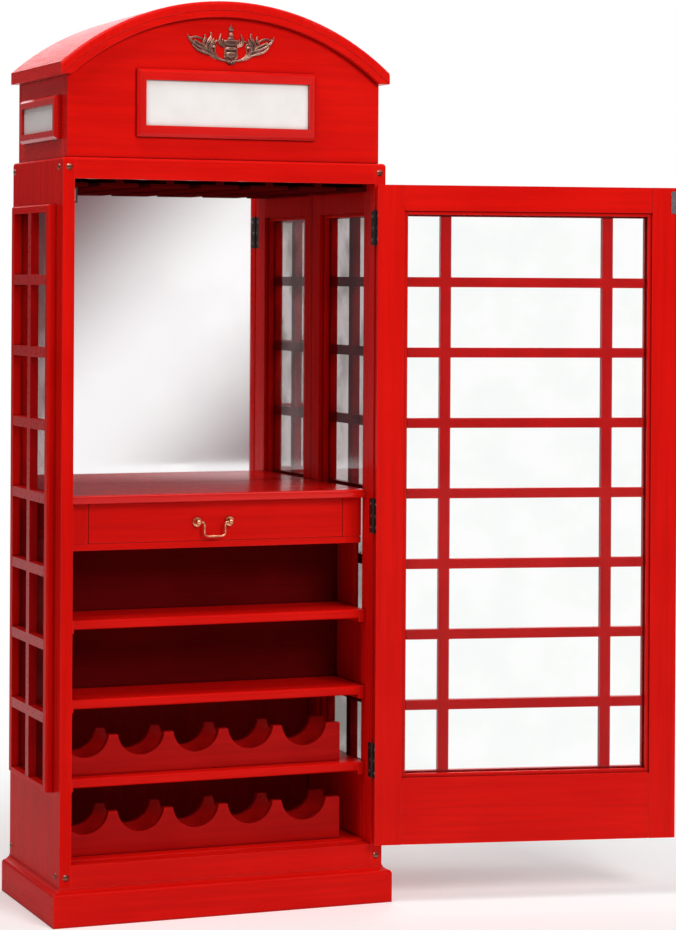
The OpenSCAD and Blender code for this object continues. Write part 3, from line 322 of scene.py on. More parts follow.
def hardware(name):
    # Metal or plastic that is dulled in patches, darkened in its corners by painted shade, and kept bright
    # on its edges as wear and painted highlight
    settings, wear = hardwareSettings[name], hardwareWear
    material, tree = newMaterial(name)
    spots = useGroup(tree, tarnish, (-700, 100), Patch_Scale=wear["patchScale"],
                     Speck_Scale=wear["speckScale"])
    edges = useGroup(tree, edgeWearAndHighlight, (-700, -150), Radius=wear["edgeWidth"], Breakup=wear["edgeBreakup"])
    corners = useGroup(tree, cornerShade, (-700, -300), Reach=wear["cornerReach"])
    shader = principled(tree, Metallic=settings["metallic"])
    specks = mathNode(tree, "MULTIPLY", spots.outputs["Specks"], wear["specks"], (-450, 100))
    worn = mathNode(tree, "ADD", specks, spots.outputs["Patches"], (-300, 100))
    worn = mathNode(tree, "MULTIPLY", worn, wear["dulled"], (-150, 100), clamp=True)
    rubbed = mathNode(tree, "SUBTRACT", worn, edges.outputs["Edges"], (0, 0), clamp=True)
    # Painted shade in the corners is joined to the tarnish here
    tarnishAndShade = mathNode(tree, "MAXIMUM", rubbed, corners.outputs["Corners"], (150, -50))
    base = mixColours(tree, tarnishAndShade, settings["bright"], settings["dull"], (300, 200))
    tree.links.new(base, shader.inputs["Base Color"])
    rough = rangeNode(tree, tarnishAndShade, 0.0, 1.0, *settings["roughness"], place=(300, -100))
    tree.links.new(rough, shader.inputs["Roughness"])
    bumpFrom(tree, shader, spots.outputs["Specks"], settings["bump"], wear["bumpDepth"])
    return material


paneSettings = {  # the haze is the roughness of the smears, and bend is the glass's IOR
    "clearPanes": {"clean": colour(252, 253, 252), "smeared": colour(247, 250, 248),
                   "haze": 0.01, "bend": 1.15, "smearScale": 9.0},
    "windowPanes": {"clean": colour(196, 188, 188), "smeared": colour(150, 146, 142),
                    "haze": 0.05, "bend": 1.45, "smearScale": 9.0},
}


def glass(name):
    # Clear sheet glass, with a very faint smear in its gloss; the lamps shine through it
    settings = paneSettings[name]
    material, tree = newMaterial(name)
    spots = useGroup(tree, tarnish, (-500, 0), Patch_Scale=settings["smearScale"])
    shader = principled(tree, Transmission_Weight=1.0, IOR=settings["bend"])
    out = shader.outputs[0].links[0].to_node
    passing = addNode(tree, "ShaderNodeBsdfTransparent", (500, -500))
    passing.inputs[0].default_value = settings["clean"]
    path = addNode(tree, "ShaderNodeLightPath", (300, 400))
    through = mathNode(tree, "MAXIMUM", path.outputs["Is Shadow Ray"], path.outputs["Is Diffuse Ray"],
                       (550, 400))
    mix = addNode(tree, "ShaderNodeMixShader", (800, 200))
    tree.links.new(through, mix.inputs[0])
    tree.links.new(shader.outputs[0], mix.inputs[1])
    tree.links.new(passing.outputs[0], mix.inputs[2])
    tree.links.new(mix.outputs[0], out.inputs[0])
    base = mixColours(tree, spots.outputs["Patches"], settings["clean"], settings["smeared"], (0, 200))
    tree.links.new(base, shader.inputs["Base Color"])
    haze = rangeNode(tree, spots.outputs["Patches"], 0.0, 1.0, 0.0, settings["haze"], (0, -100))
    tree.links.new(haze, shader.inputs["Roughness"])
    return material


mirrorSettings = {
    "silver": colour(253, 251, 251), "clouded": colour(248, 245, 246), "frameShadeGrey": colour(150, 130, 130),
    "cloudScale": 4.0, "frameShadeDepth": 0.3, "cornerReach": 0.01,
    "roughness": (0.02, 0.035),
}


def mirrorGlass():
    settings = mirrorSettings
    material, tree = newMaterial("silveredMirror")
    spots = useGroup(tree, tarnish, (-700, 0), Patch_Scale=settings["cloudScale"])
    corners = useGroup(tree, cornerShade, (-700, -300), Reach=settings["cornerReach"])
    shader = principled(tree, Metallic=1.0)
    base = mixColours(tree, spots.outputs["Patches"], settings["silver"], settings["clouded"], (0, 200))
    # Painted shade on the silvering in the inside corners of its frame
    shade = mathNode(tree, "MULTIPLY", corners.outputs["Corners"], settings["frameShadeDepth"], (0, -300))
    base = mixColours(tree, shade, base, settings["frameShadeGrey"], (200, 200))
    tree.links.new(base, shader.inputs["Base Color"])
    rough = rangeNode(tree, spots.outputs["Patches"], 0.0, 1.0, *settings["roughness"], place=(0, -100))
    tree.links.new(rough, shader.inputs["Roughness"])
    return material


plaqueSettings = {
    "white": colour(244, 240, 237), "clouded": colour(234, 229, 225), "frameShadowBrown": colour(160, 128, 118),
    "clouds": 0.5, "cloudScale": 14.0, "frameShadeDepth": 0.6, "cornerReach": 0.012,
    "roughness": 0.28, "coat": 0.3, "coatRoughness": 0.1,
    "peelScale": 120.0, "bump": 0.06, "bumpDepth": 0.0004,
}


def opalPlaque():
    settings = plaqueSettings
    material, tree = newMaterial("opalPlaque")
    spots = useGroup(tree, tarnish, (-700, 100), Patch_Scale=settings["cloudScale"])
    corners = useGroup(tree, cornerShade, (-700, -200), Reach=settings["cornerReach"])
    peel = useGroup(tree, orangePeel, (-700, -350), Scale=settings["peelScale"])
    shader = principled(tree, Roughness=settings["roughness"], Coat_Weight=settings["coat"],
                        Coat_Roughness=settings["coatRoughness"])
    faint = mathNode(tree, "MULTIPLY", spots.outputs["Patches"], settings["clouds"], (-300, 100))
    base = mixColours(tree, faint, settings["white"], settings["clouded"], (0, 200))
    # Painted shadow of the frame along the plaque's edges
    shade = mathNode(tree, "MULTIPLY", corners.outputs["Corners"], settings["frameShadeDepth"], (-300, -200))
    base = mixColours(tree, shade, base, settings["frameShadowBrown"], (200, 200))
    tree.links.new(base, shader.inputs["Base Color"])
    bumpFrom(tree, shader, peel.outputs["Height"], settings["bump"], settings["bumpDepth"])
    return material


finishes = {
    "up": lacquer("redLacquerUpright", lacquerSettings, "up"),
    "across": lacquer("redLacquerAcross", lacquerSettings, "across"),
    "back": lacquer("redLacquerFrontToBack", lacquerSettings, "back"),
    "sideUp": lacquer("sideLacquerUpright", sideSettings, "up"),
    "sideBack": lacquer("sideLacquerFrontToBack", sideSettings, "back"),
    "signUp": lacquer("signFrameUpright", signSettings, "up"),
    "signAcross": lacquer("signFrameAcross", signSettings, "across"),
    "counter": lacquer("polishedCounter", counterSettings, "across"),
    "bars": lacquer("barLacquer", shadedBarSettings, "even"),
    "doorAcross": lacquer("redLacquerDoorAcross", lacquerSettings, "across", doorTurn),
    "insideUp": lacquer("insideLacquerUpright", shadedInsideSettings, "up"),
    "insideAcross": lacquer("insideLacquerAcross", shadedInsideSettings, "across"),
    "insideBack": lacquer("insideLacquerFrontToBack", shadedInsideSettings, "back"),
    "dark": lacquer("darkBackLacquer", shadeDarkSettings, "across"),
    "railDark": lacquer("darkRailLacquer", shadeDarkSettings, "back"),
    "clear": glass("clearPanes"),
    "window": glass("windowPanes"),
    "mirror": mirrorGlass(),
    "opal": opalPlaque(),
    "bronze": hardware("agedBronze"),
    "stud": hardware("darkStuds"),
    "brass": hardware("polishedBrass"),
    "hinge": hardware("blackHingeSteel"),
    "steel": hardware("brightSteel"),
    "plastic": hardware("catchPlastic"),
}

# Which finish each part of the cabinet has; frames have one for uprights and one for cross members
partFinishes = {
    "plinth_front": "across", "plinth_returns": "sideBack", "front_rails": "across",
    "left_front_post": "sideUp", "right_front_post": "up", "side_frames": "sideUp",
    "bottom_board": "across", "back_panel": "insideUp", "top_board": "across",
    "ceiling_board": "insideAcross", "window_frames": ("sideUp", "sideBack"), "window_bars": "bars",
    "window_glass": "window", "window_beads": ("sideUp", "sideBack"), "window_liners": "insideUp",
    "header_front": "across", "header_box": "back", "roof_panel": "back", "arch_trim": "across",
    "eave_trims": "back", "sign_frames": ("signUp", "signAcross"), "sign_plaques": "opal",
    "crest": "bronze", "corner_studs": "stud",
    "mirror": "mirror", "stemware_webs": "railDark", "stemware_flanges": "railDark",
    "counter_board": "counter", "upper_shelf": "across", "middle_shelf": "across", "rack_shelf": "across",
    "shelf_cleats": "back", "inner_back_panel": "dark",
    "upper_rack": "insideAcross", "lower_rack": "insideAcross",
    "drawer_divider": "across", "drawer_fillers": "up", "drawer_guides": "insideBack",
    "drawer_front": "across", "drawer_sides": "insideBack", "drawer_back": "insideAcross",
    "drawer_bottom": "insideAcross", "drawer_handle_posts": "brass", "drawer_bail": "brass",
    "post_hinge_leaves": "hinge", "door_hinge_leaves": "hinge", "hinge_pins": "hinge",
    "body_screws": "steel", "door_screws": "steel", "strike_plate": "steel",
    "catch_body": "plastic", "catch_magnet": "steel",
    "door_stiles": "up", "door_rails": "doorAcross", "door_outer_frame": ("up", "doorAcross"),
    "door_bars": "bars", "door_glass": "clear", "door_beads": ("up", "doorAcross"),
    "door_pull_post": "brass", "door_ring": "brass",
}


def paintMembers(mesh):
    # The upright members of a frame take its first finish, and the cross members its second
    shape = bmesh.new()
    shape.from_mesh(mesh)
    bmesh.ops.remove_doubles(shape, verts=shape.verts, dist=1e-6)
    shape.faces.ensure_lookup_table()
    seen = set()
    uprights = set()
    for face in shape.faces:
        if face.index in seen:
            continue
        waiting, member = [face], []
        seen.add(face.index)
        while waiting:
            current = waiting.pop()
            member.append(current)
            for edge in current.edges:
                for other in edge.link_faces:
                    if other.index not in seen:
                        seen.add(other.index)
                        waiting.append(other)
        points = [corner.co for item in member for corner in item.verts]
        tall = max(p.z for p in points) - min(p.z for p in points)
        wide = math.hypot(max(p.x for p in points) - min(p.x for p in points),
                          max(p.y for p in points) - min(p.y for p in points))
        if tall > wide:
            uprights.update(item.index for item in member)
    shape.free()
    for polygon in mesh.polygons:
        polygon.material_index = 0 if polygon.index in uprights else 1


edgeSettings = {  # width of the softened edge in millimetres, and the steps across it
    "wood": (2.2, 3), "thin": (0.8, 2), "hardware": (0.35, 2),
    "leastTurn": 38,   # edges that turn less than this, in degrees, stay as they are
    "paneGap": 0.12,   # how far the panes stand off the bars that they touch, in millimetres
}
thinParts = ("beads", "bars", "rack", "webs", "flanges", "cleats", "guides", "liners", "drawer_sides",
             "drawer_back", "drawer_bottom", "sign", "inner_back")
roundParts = ("drawer_bail", "door_ring", "crest", "corner_studs", "drawer_handle_posts")
sharpParts = ("door_glass", "window_glass", "mirror", "sign_plaques")
hardwareFinishes = ("hinge", "steel", "brass", "plastic")


def softenEdges(part, kind):
    width, steps = edgeSettings[kind]
    mesh = part.data
    if "custom_normal" in mesh.attributes:
        mesh.attributes.remove(mesh.attributes["custom_normal"])
    mesh.polygons.foreach_set("use_smooth", [True] * len(mesh.polygons))
    weld = part.modifiers.new("weld", "WELD")
    weld.merge_threshold = 1e-5
    bevel = part.modifiers.new("softEdge", "BEVEL")
    bevel.width = width * mm
    bevel.segments = steps
    bevel.limit_method = "ANGLE"
    bevel.angle_limit = math.radians(edgeSettings["leastTurn"])
    bevel.harden_normals = True
    bevel.use_clamp_overlap = True


for name, part in nodes.items():
    finish = partFinishes[name]
    part.data.materials.clear()
    if isinstance(finish, tuple):
        for kind in finish:
            part.data.materials.append(finishes[kind])
        paintMembers(part.data)
    else:
        part.data.materials.append(finishes[finish])
    if finish in ("clear", "window"):
        # The panes stand a hair off the bars that they touch, so that light passes between
        shrink = part.modifiers.new("hairGap", "DISPLACE")
        shrink.strength = -edgeSettings["paneGap"] * mm
        shrink.mid_level = 0.0
    if name in roundParts or name in sharpParts:
        continue
    if finish in hardwareFinishes:
        softenEdges(part, "hardware")
    elif any(word in name for word in thinParts):
        softenEdges(part, "thin")
    else:
        softenEdges(part, "wood")
print("finishes given to", len(nodes), "parts")


# Cast crest of urn and scrolls

crestSettings = {  # in millimetres from the crest's lowest point, in its middle
    # A leaf's height to its width, the most of it, and the depth of its groove
    "leafForm": {"rise": 0.62, "highest": 5.6, "vein": 0.42},
    "groundForm": {"rise": 0.12, "highest": 1.6, "vein": 0.0},
    "leafSteps": (22, 10),          # along and across
    "leafWall": 0.7,                # height of a leaf's side wall
    "grooveWidth": 0.24,            # as a share of the leaf's half width
    "endHeight": 0.55, "endRise": 3,  # its height at the ends as a share, and how soon it is full
    "leaves": (                     # four points of a leaf's curve right of the middle, and its widths
        (((2, 9), (22, 9), (34, 13), (45, 21)), (4, 5, 4)),
        (((43, 20), (62, 26), (82, 28), (89, 46)), (4, 6, 3)),
        (((87, 42), (90, 52), (96, 52), (100, 65)), (4, 6, 1)),
        (((93, 55), (84, 62), (72, 60), (61, 50)), (3, 5, 3)),
        (((89, 50), (80, 40), (68, 34), (50, 32)), (3, 5, 3)),
        (((84, 53), (76, 47), (66, 42), (52, 40)), (2, 4, 2)),
        (((63, 44), (64, 52), (57, 54), (60, 64)), (4, 7, 2)),
        (((56, 40), (56, 52), (43, 55), (46, 69)), (4, 8, 2)),
        (((51, 40), (45, 46), (43, 50), (40, 58)), (3, 6, 2)),
        (((30, 13), (42, 20), (47, 32), (44, 42)), (3, 5, 4)),
        (((45, 37), (47, 48), (34, 49), (34, 39)), (4, 4, 2)),
        (((23, 13), (36, 18), (40, 28), (35, 36)), (3, 4, 2)),
        (((41, 45), (36, 54), (28, 54), (20, 47)), (3, 4, 3)),
        (((8, 13), (18, 16), (12, 26), (13, 38)), (4, 5, 3)),
        (((15, 40), (29, 42), (28, 54), (23, 68)), (5, 7, 1.5)),
        (((13, 44), (20, 44), (22, 50), (19, 57)), (3, 4, 2)),
    ),
    "ground": (                     # low strips that tie the leaves together
        (((34, 13), (46, 26), (62, 36), (86, 50)), (5, 13, 5)),
        (((50, 28), (54, 38), (52, 48), (50, 58)), (8, 12, 4)),
        (((5, 9), (10, 20), (9, 32), (6, 42)), (8, 8, 8)),
    ),
    "urn": (                        # half width and height of each point of its outline
        (6, 14), (11.5, 19), (11.5, 26), (8, 29.5), (12, 34), (12, 37), (9, 40), (14, 44),
        (17.3, 50), (17.3, 54), (9, 53), (7.5, 58), (4, 64), (4.5, 68), (4, 71), (3, 73.5),
        (6.2, 76), (5, 81), (2, 86), (0, 88.5),
    ),
    "urnDepth": 7.8, "urnFullness": 9.0, "urnSteps": (5, 28),  # steps between two points, and around
    "tip": 0.4,                     # the urn's narrowest half width
    "beads": (                      # place, radius and height
        (39.5, 38.5, 4.5, 5.4), (94, 57, 3.2, 4.2), (46, 68, 2.4, 3.4), (60, 63, 2.1, 3.2),
        (0, 4.8, 2.6, 6.0), (39.5, 38.5, 2.0, 6.6), (0, 66, 5.2, 4.6),
    ),
    "beadWall": 0.5, "beadSteps": (6, 16),
    "pendant": (11.0, 9.6),         # half width and height of the diamond under the urn
    "pendantRings": ((1, 1, 0), (1, 1, 3.2), (0.72, 0.7, 4.6), (0.4, 0.4, 2.6)),  # shares, and level
    "crease": 48,                   # edges that turn more than this, in degrees, stay crisp
}


def curvePoint(points, t):
    # A point of the curve from the first point to the last, led by the two between them
    a, b, c, d = points
    return [(1 - t) ** 3 * a[i] + 3 * t * (1 - t) ** 2 * b[i] + 3 * t * t * (1 - t) * c[i]
            + t ** 3 * d[i] for i in (0, 1)]


def partBox(name):
    # The lowest and highest x, y and z of a part
    points = [corner.co for corner in nodes[name].data.vertices]
    return [(min(p[axis] for p in points), max(p[axis] for p in points)) for axis in range(3)]


crestX, crestY, crestZ = partBox("crest")
crestMiddle = sum(crestX) / 2
crestBack = crestY[1]  # it lies on the header's face there
crestFoot = crestZ[0]


def crestPlace(x, z, height):
    return (crestMiddle + x * mm, crestBack - height * mm, crestFoot + z * mm)


def joinRings(shape, rings):
    # Faces between closed rings of points, and one at each end
    for low, high in zip(rings, rings[1:]):
        for k in range(len(low)):
            after = (k + 1) % len(low)
            shape.faces.new((low[k], low[after], high[after], high[k]))
    shape.faces.new(rings[0][::-1])
    shape.faces.new(rings[-1])


def addLeaf(shape, points, widths, side, form):
    # A raised leaf along a curve, with a groove down its middle and a flat back
    settings = crestSettings
    stations, across = settings["leafSteps"]
    nearby = 0.02  # how far along the curve the two points lie that give its direction
    rings = []
    for i in range(stations + 1):
        t = i / stations
        x, z = curvePoint(points, t)
        x0, z0 = curvePoint(points, max(0, t - nearby))
        x1, z1 = curvePoint(points, min(1, t + nearby))
        length = math.hypot(x1 - x0, z1 - z0)
        nx, nz = -(z1 - z0) / length, (x1 - x0) / length
        width = (widths[0] * (1 - t) * (1 - 2 * t) + 4 * widths[1] * t * (1 - t)
                 + widths[2] * t * (2 * t - 1))
        fullness = min(1.0, settings["endHeight"] + settings["endRise"] * min(t, 1 - t))
        top = min(width * form["rise"], form["highest"]) * fullness
        section = []  # places across the leaf from -1 to 1, and their levels
        for j in range(across + 1):
            u = 2 * j / across - 1
            groove = form["vein"] * math.exp(-(u / settings["grooveWidth"]) ** 2)
            section.append((u, settings["leafWall"] + top * math.sqrt(max(0.0, 1 - u * u)) * (1 - groove)))
        section += [(1, 0), (-1, 0)]
        rings.append([shape.verts.new(crestPlace(side * (x + nx * width / 2 * u),
                                                 z + nz * width / 2 * u, level)) for u, level in section])
    joinRings(shape, rings)


def smoothOutline(outline, steps):
    # Rounds the turned outline between its points
    points = []
    for i in range(len(outline) - 1):
        a, b = outline[max(0, i - 1)], outline[i]
        c, d = outline[i + 1], outline[min(len(outline) - 1, i + 2)]
        for k in range(steps):
            t = k / steps
            r, z = [0.5 * (2 * b[n] + (c[n] - a[n]) * t + (2 * a[n] - 5 * b[n] + 4 * c[n] - d[n]) * t * t
                           + (3 * b[n] - a[n] - 3 * c[n] + d[n]) * t ** 3) for n in (0, 1)]
            points.append((max(crestSettings["tip"], r), z))
    points.append((crestSettings["tip"], outline[-1][1]))
    return points


def addUrn(shape):
    # Half of a turned urn, flattened towards the header
    settings = crestSettings
    steps, around = settings["urnSteps"]
    rings = []
    for r, z in smoothOutline(settings["urn"], steps):
        depth = settings["urnDepth"] * (1 - math.exp(-r / settings["urnFullness"]))
        angles = [math.pi * k / around for k in range(around + 1)]
        rings.append([shape.verts.new(crestPlace(r * math.cos(a), z, depth * math.sin(a))) for a in angles])
    joinRings(shape, rings)


def addBead(shape, x, z, radius, height):
    # A half round bead on a short wall
    wall = crestSettings["beadWall"]
    levels, around = crestSettings["beadSteps"]
    rings = []
    for i in range(levels):
        rise = math.pi / 2 * i / levels
        level = 0 if i == 0 else wall + (height - wall) * math.sin(rise)
        reach = radius if i < 2 else radius * math.cos(rise)
        angles = [2 * math.pi * k / around for k in range(around)]
        rings.append([shape.verts.new(crestPlace(x + reach * math.cos(a), z + reach * math.sin(a), level))
                      for a in angles])
    joinRings(shape, rings)


def addPendant(shape):
    # The small diamond under the urn, hollowed towards its middle
    halfWidth, height = crestSettings["pendant"]
    middle = height / 2
    corners = ((0, -middle), (halfWidth, 0), (0, middle), (-halfWidth, 0))
    rings = []
    for wide, tall, level in crestSettings["pendantRings"]:
        rings.append([shape.verts.new(crestPlace(x * wide, middle + z * tall, level)) for x, z in corners])
    joinRings(shape, rings)


bronzeSettings = {  # each pair ending in At is where the tone starts and where it is full
    "hollow": colour(40, 20, 19), "high": colour(218, 160, 140), "highAt": (0.497, 0.53),  # of pointiness
    "worn": colour(92, 60, 50), "wornDepth": 0.4,
    # Painted highlight on faces that look up, and painted shade on those that look down and in corners
    "rubbed": colour(244, 196, 176), "topHighlightDepth": 0.55, "topHighlightAt": (0.25, 0.8),
    "paintedShade": colour(34, 14, 14), "paintedShadeDepth": 0.8, "paintedShadeAt": (-0.1, -0.6),
    "patchScale": 160.0, "speckScale": 1400.0, "cornerReach": 0.004,
    "metallic": 0.7, "roughness": (0.55, 0.32), "bump": 0.2, "bumpDepth": 0.0003,
}


def castBronze():
    # Aged bronze, rubbed pale on the high places and dark in the hollows
    settings = bronzeSettings
    material, tree = newMaterial("castBronze")
    spots = useGroup(tree, tarnish, (-700, 100), Patch_Scale=settings["patchScale"],
                     Speck_Scale=settings["speckScale"])
    corners = useGroup(tree, cornerShade, (-700, -300), Reach=settings["cornerReach"])
    shape = addNode(tree, "ShaderNodeNewGeometry", (-900, 300))
    facing = addNode(tree, "ShaderNodeSeparateXYZ", (-700, 500))
    tree.links.new(shape.outputs["Normal"], facing.inputs[0])
    high = rangeNode(tree, shape.outputs["Pointiness"], *settings["highAt"], place=(-500, 300))
    worn = mathNode(tree, "MULTIPLY", spots.outputs["Patches"], settings["wornDepth"], (-300, 100))
    # The rubbed tone is a painted highlight on the faces that look up
    rubbed = rangeNode(tree, facing.outputs["Z"], *settings["topHighlightAt"], 0.0, settings["topHighlightDepth"],
                       (-300, 600))
    # Painted shade on the faces that look down and in the corners
    under = rangeNode(tree, facing.outputs["Z"], *settings["paintedShadeAt"], 0.0, settings["paintedShadeDepth"],
                      (-300, 500))
    paintedShade = mathNode(tree, "MAXIMUM", under, corners.outputs["Corners"], (0, 100))
    base = mixColours(tree, high, settings["hollow"], settings["high"], (-300, 300))
    base = mixColours(tree, worn, base, settings["worn"], (-100, 300))
    base = mixColours(tree, rubbed, base, settings["rubbed"], (0, 300))
    base = mixColours(tree, paintedShade, base, settings["paintedShade"], (100, 300))
    shader = principled(tree, Metallic=settings["metallic"])
    tree.links.new(base, shader.inputs["Base Color"])
    rough = rangeNode(tree, high, 0.0, 1.0, *settings["roughness"], place=(100, 0))
    tree.links.new(rough, shader.inputs["Roughness"])
    bumpFrom(tree, shader, spots.outputs["Specks"], settings["bump"], settings["bumpDepth"])
    return material


def buildCrest():
    settings = crestSettings
    shape = bmesh.new()
    for side in (-1, 1):
        for points, widths in settings["leaves"]:
            addLeaf(shape, points, widths, side, settings["leafForm"])
        for points, widths in settings["ground"]:
            addLeaf(shape, points, widths, side, settings["groundForm"])
    for x, z, radius, height in settings["beads"]:
        for side in ((-1, 1) if x else (1,)):
            addBead(shape, side * x, z, radius, height)
    addUrn(shape)
    addPendant(shape)
    bmesh.ops.recalc_face_normals(shape, faces=shape.faces)
    mesh = bpy.data.meshes.new("crestRelief")
    shape.to_mesh(mesh)
    shape.free()
    mesh.polygons.foreach_set("use_smooth", [True] * len(mesh.polygons))
    crest = bpy.data.objects.new("crestRelief", mesh)
    bpy.context.scene.collection.objects.link(crest)
    mesh.materials.append(castBronze())
    split = crest.modifiers.new("creases", "EDGE_SPLIT")
    split.split_angle = math.radians(settings["crease"])
    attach(crest, "cabinet")
    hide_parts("crest")
    print("crest cast:", len(mesh.polygons), "faces")


# Stage, light and camera

stageSettings = {
    "floor": colour(250, 249, 248), "roughness": 0.9, "specular": 0.1,
    "floorHalf": 14,               # half its side, in metres
    "floorDrop": 0.0005,           # how far it lies under the cabinet, in metres
    "floorWhite": (0.7, 2.4),      # metres from the cabinet over which the floor turns plain white
    "floorGlow": 0.2,              # added to the near floor as it is seen, over its own shading
}
roomSettings = {
    "light": 0.22,                 # what lights the cabinet from all round
    # The rest shows only in gloss and in the mirror. A pale panel stands in front on the right, and the
    # mirror has it as a slanting band: the direction across it, its middle, and where its edge fades
    "panelAcross": (14.9, 0.0, -14.1), "panelMiddle": 4.96, "panelFade": (0.08, 1.25),
    "panelSurround": colour(124, 98, 101),
    "sides": colour(104, 96, 96),
    "behindLeft": colour(128, 116, 118),
    "behindRight": (2.2, 2.08, 2.14, 1),  # brighter than white, for the sheen on ledges and the roof
    "above": (2.4, 2.28, 2.34, 1),
    # Where each side of the room starts and is full, as the x, y or z of the direction to it
    "frontAt": (-0.55, -0.85), "behindAt": (-0.1, 0.5), "aboveAt": (0.3, 0.7), "rightAt": (-0.15, 0.15),
}
lampSettings = {  # mirrored says whether gloss and metal show the lamp itself
    "frontLamp": {"place": (1.1, -4.5, 3.4), "aim": (0.1, 0.0, 1.0), "size": 1.7, "power": 132.0,
                  "mirrored": False},
    "topLamp": {"place": (-1.2, -0.6, 4.2), "aim": (0.0, 0.2, 1.2), "size": 1.6, "power": 60.0,
                "mirrored": True},
    # Lights the back and the right side
    "backLamp": {"place": (2.2, 4.6, 3.2), "aim": (0.0, 0.2, 1.0), "size": 2.2, "power": 70.0,
                 "mirrored": False},
}
cameraSettings = {
    "place": (-2.08449, -5.91429, 1.37232),
    "turn": (89.7873, -0.33865, -22.0215),       # in degrees
    "focalPixels": 2884.69, "frameHeight": 930,  # focal length in pixels of a picture this high
    "shift": (-0.022186, -0.184345),
}


def buildFloor():
    # A pale floor that keeps the cabinet's shadow and turns white further off
    settings = stageSettings
    shape = bmesh.new()
    bmesh.ops.create_grid(shape, x_segments=1, y_segments=1, size=settings["floorHalf"])
    mesh = bpy.data.meshes.new("floorSheet")
    shape.to_mesh(mesh)
    shape.free()
    floor = bpy.data.objects.new("floorSheet", mesh)
    bpy.context.scene.collection.objects.link(floor)
    floor.location.z = -settings["floorDrop"]
    material, tree = newMaterial("paleFloor")
    shader = principled(tree, Base_Color=settings["floor"], Roughness=settings["roughness"],
                        Specular_IOR_Level=settings["specular"])
    out = shader.outputs[0].links[0].to_node
    place = addNode(tree, "ShaderNodeTexCoord", (-600, 0))
    far = addNode(tree, "ShaderNodeVectorMath", (-400, 0), operation="LENGTH")
    tree.links.new(place.outputs["Object"], far.inputs[0])
    reach = rangeNode(tree, far.outputs["Value"], *settings["floorWhite"], place=(-200, 0))
    path = addNode(tree, "ShaderNodeLightPath", (-600, 400))
    seen = mathNode(tree, "ADD", path.outputs["Is Camera Ray"], path.outputs["Is Glossy Ray"], (-400, 400))
    seen = mathNode(tree, "ADD", seen, path.outputs["Is Transmission Ray"], (-200, 400), clamp=True)
    white = addNode(tree, "ShaderNodeEmission", (500, 300))
    glow = addNode(tree, "ShaderNodeEmission", (500, -400))
    strength = mathNode(tree, "MULTIPLY", seen, settings["floorGlow"], (200, -400))
    tree.links.new(strength, glow.inputs["Strength"])
    near = addNode(tree, "ShaderNodeAddShader", (650, -200))
    tree.links.new(shader.outputs[0], near.inputs[0])
    tree.links.new(glow.outputs[0], near.inputs[1])
    mix = addNode(tree, "ShaderNodeMixShader", (800, 200))
    tree.links.new(mathNode(tree, "MULTIPLY", reach, seen, (0, 200)), mix.inputs[0])
    tree.links.new(near.outputs[0], mix.inputs[1])
    tree.links.new(white.outputs[0], mix.inputs[2])
    tree.links.new(mix.outputs[0], out.inputs[0])
    mesh.materials.append(material)


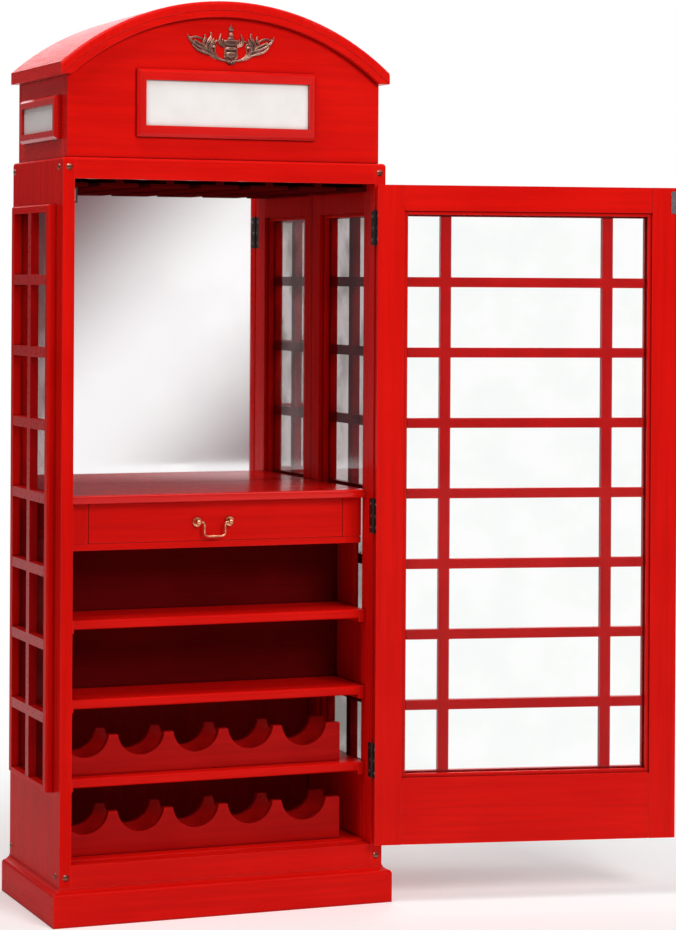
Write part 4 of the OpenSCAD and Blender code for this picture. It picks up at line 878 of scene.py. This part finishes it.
def buildWorld():
    # White where the camera sees it, dim as a light, and a plain room with a panel for gloss and mirror
    settings = roomSettings
    world = bpy.data.worlds.new("studio")
    bpy.context.scene.world = world
    world.use_nodes = True
    tree = world.node_tree
    tree.nodes.clear()
    out = addNode(tree, "ShaderNodeOutputWorld", (900, 0))
    background = addNode(tree, "ShaderNodeBackground", (700, 0))
    tree.links.new(background.outputs[0], out.inputs[0])
    path = addNode(tree, "ShaderNodeLightPath", (-600, 300))
    place = addNode(tree, "ShaderNodeTexCoord", (-900, 0))
    dot = addNode(tree, "ShaderNodeVectorMath", (-600, 0), operation="DOT_PRODUCT")
    tree.links.new(place.outputs["Generated"], dot.inputs[0])
    dot.inputs[1].default_value = settings["panelAcross"]
    across = mathNode(tree, "SUBTRACT", dot.outputs["Value"], settings["panelMiddle"], (-400, 0))
    away = mathNode(tree, "ABSOLUTE", across, place=(-250, 0))
    band = rangeNode(tree, away, *settings["panelFade"], 1.0, 0.0, (-100, 0))
    split = addNode(tree, "ShaderNodeSeparateXYZ", (-600, -250))
    tree.links.new(place.outputs["Generated"], split.inputs[0])
    front = rangeNode(tree, split.outputs["Y"], *settings["frontAt"], place=(-400, -250))
    behind = rangeNode(tree, split.outputs["Y"], *settings["behindAt"], place=(-400, -450))
    above = rangeNode(tree, split.outputs["Z"], *settings["aboveAt"], place=(-400, -650))
    right = rangeNode(tree, split.outputs["X"], *settings["rightAt"], place=(-400, -850))
    white = (1, 1, 1, 1)
    panel = mixColours(tree, band, settings["panelSurround"], white, (100, 0))
    far = mixColours(tree, right, settings["behindLeft"], settings["behindRight"], (100, -450))
    glossy = mixColours(tree, front, settings["sides"], panel, (250, -50))
    glossy = mixColours(tree, behind, glossy, far, (350, -50))
    glossy = mixColours(tree, above, glossy, settings["above"], (450, -50))
    level = settings["light"]
    plain = mixColours(tree, path.outputs["Is Glossy Ray"], (level, level, level, 1), glossy, (500, 100))
    seen = mathNode(tree, "ADD", path.outputs["Is Camera Ray"], path.outputs["Is Transmission Ray"],
                    (-300, 300), clamp=True)
    final = mixColours(tree, seen, plain, white, (600, 100))
    tree.links.new(final, background.inputs["Color"])


def addLamp(name, settings):
    lamp = bpy.data.lights.new(name, "AREA")
    lamp.size = settings["size"]
    lamp.energy = settings["power"]
    holder = bpy.data.objects.new(name, lamp)
    bpy.context.scene.collection.objects.link(holder)
    place, aim = Vector(settings["place"]), Vector(settings["aim"])
    holder.location = place
    holder.rotation_euler = (aim - place).to_track_quat("-Z", "Y").to_euler()
    holder.visible_glossy = settings["mirrored"]


def buildCamera():
    settings = cameraSettings
    data = bpy.data.cameras.new("viewCamera")
    camera = bpy.data.objects.new("viewCamera", data)
    bpy.context.scene.collection.objects.link(camera)
    camera.location = settings["place"]
    camera.rotation_euler = [math.radians(angle) for angle in settings["turn"]]
    data.sensor_fit = "AUTO"
    data.sensor_width = 36.0
    data.lens = data.sensor_width * settings["focalPixels"] / settings["frameHeight"]
    data.shift_x, data.shift_y = settings["shift"]
    data.clip_end = 60
    bpy.context.scene.camera = camera


buildCrest()
buildFloor()
buildWorld()
for name, settings in lampSettings.items():
    addLamp(name, settings)
buildCamera()
bpy.context.scene.view_settings.view_transform = "Standard"
print("stage, light and camera set")
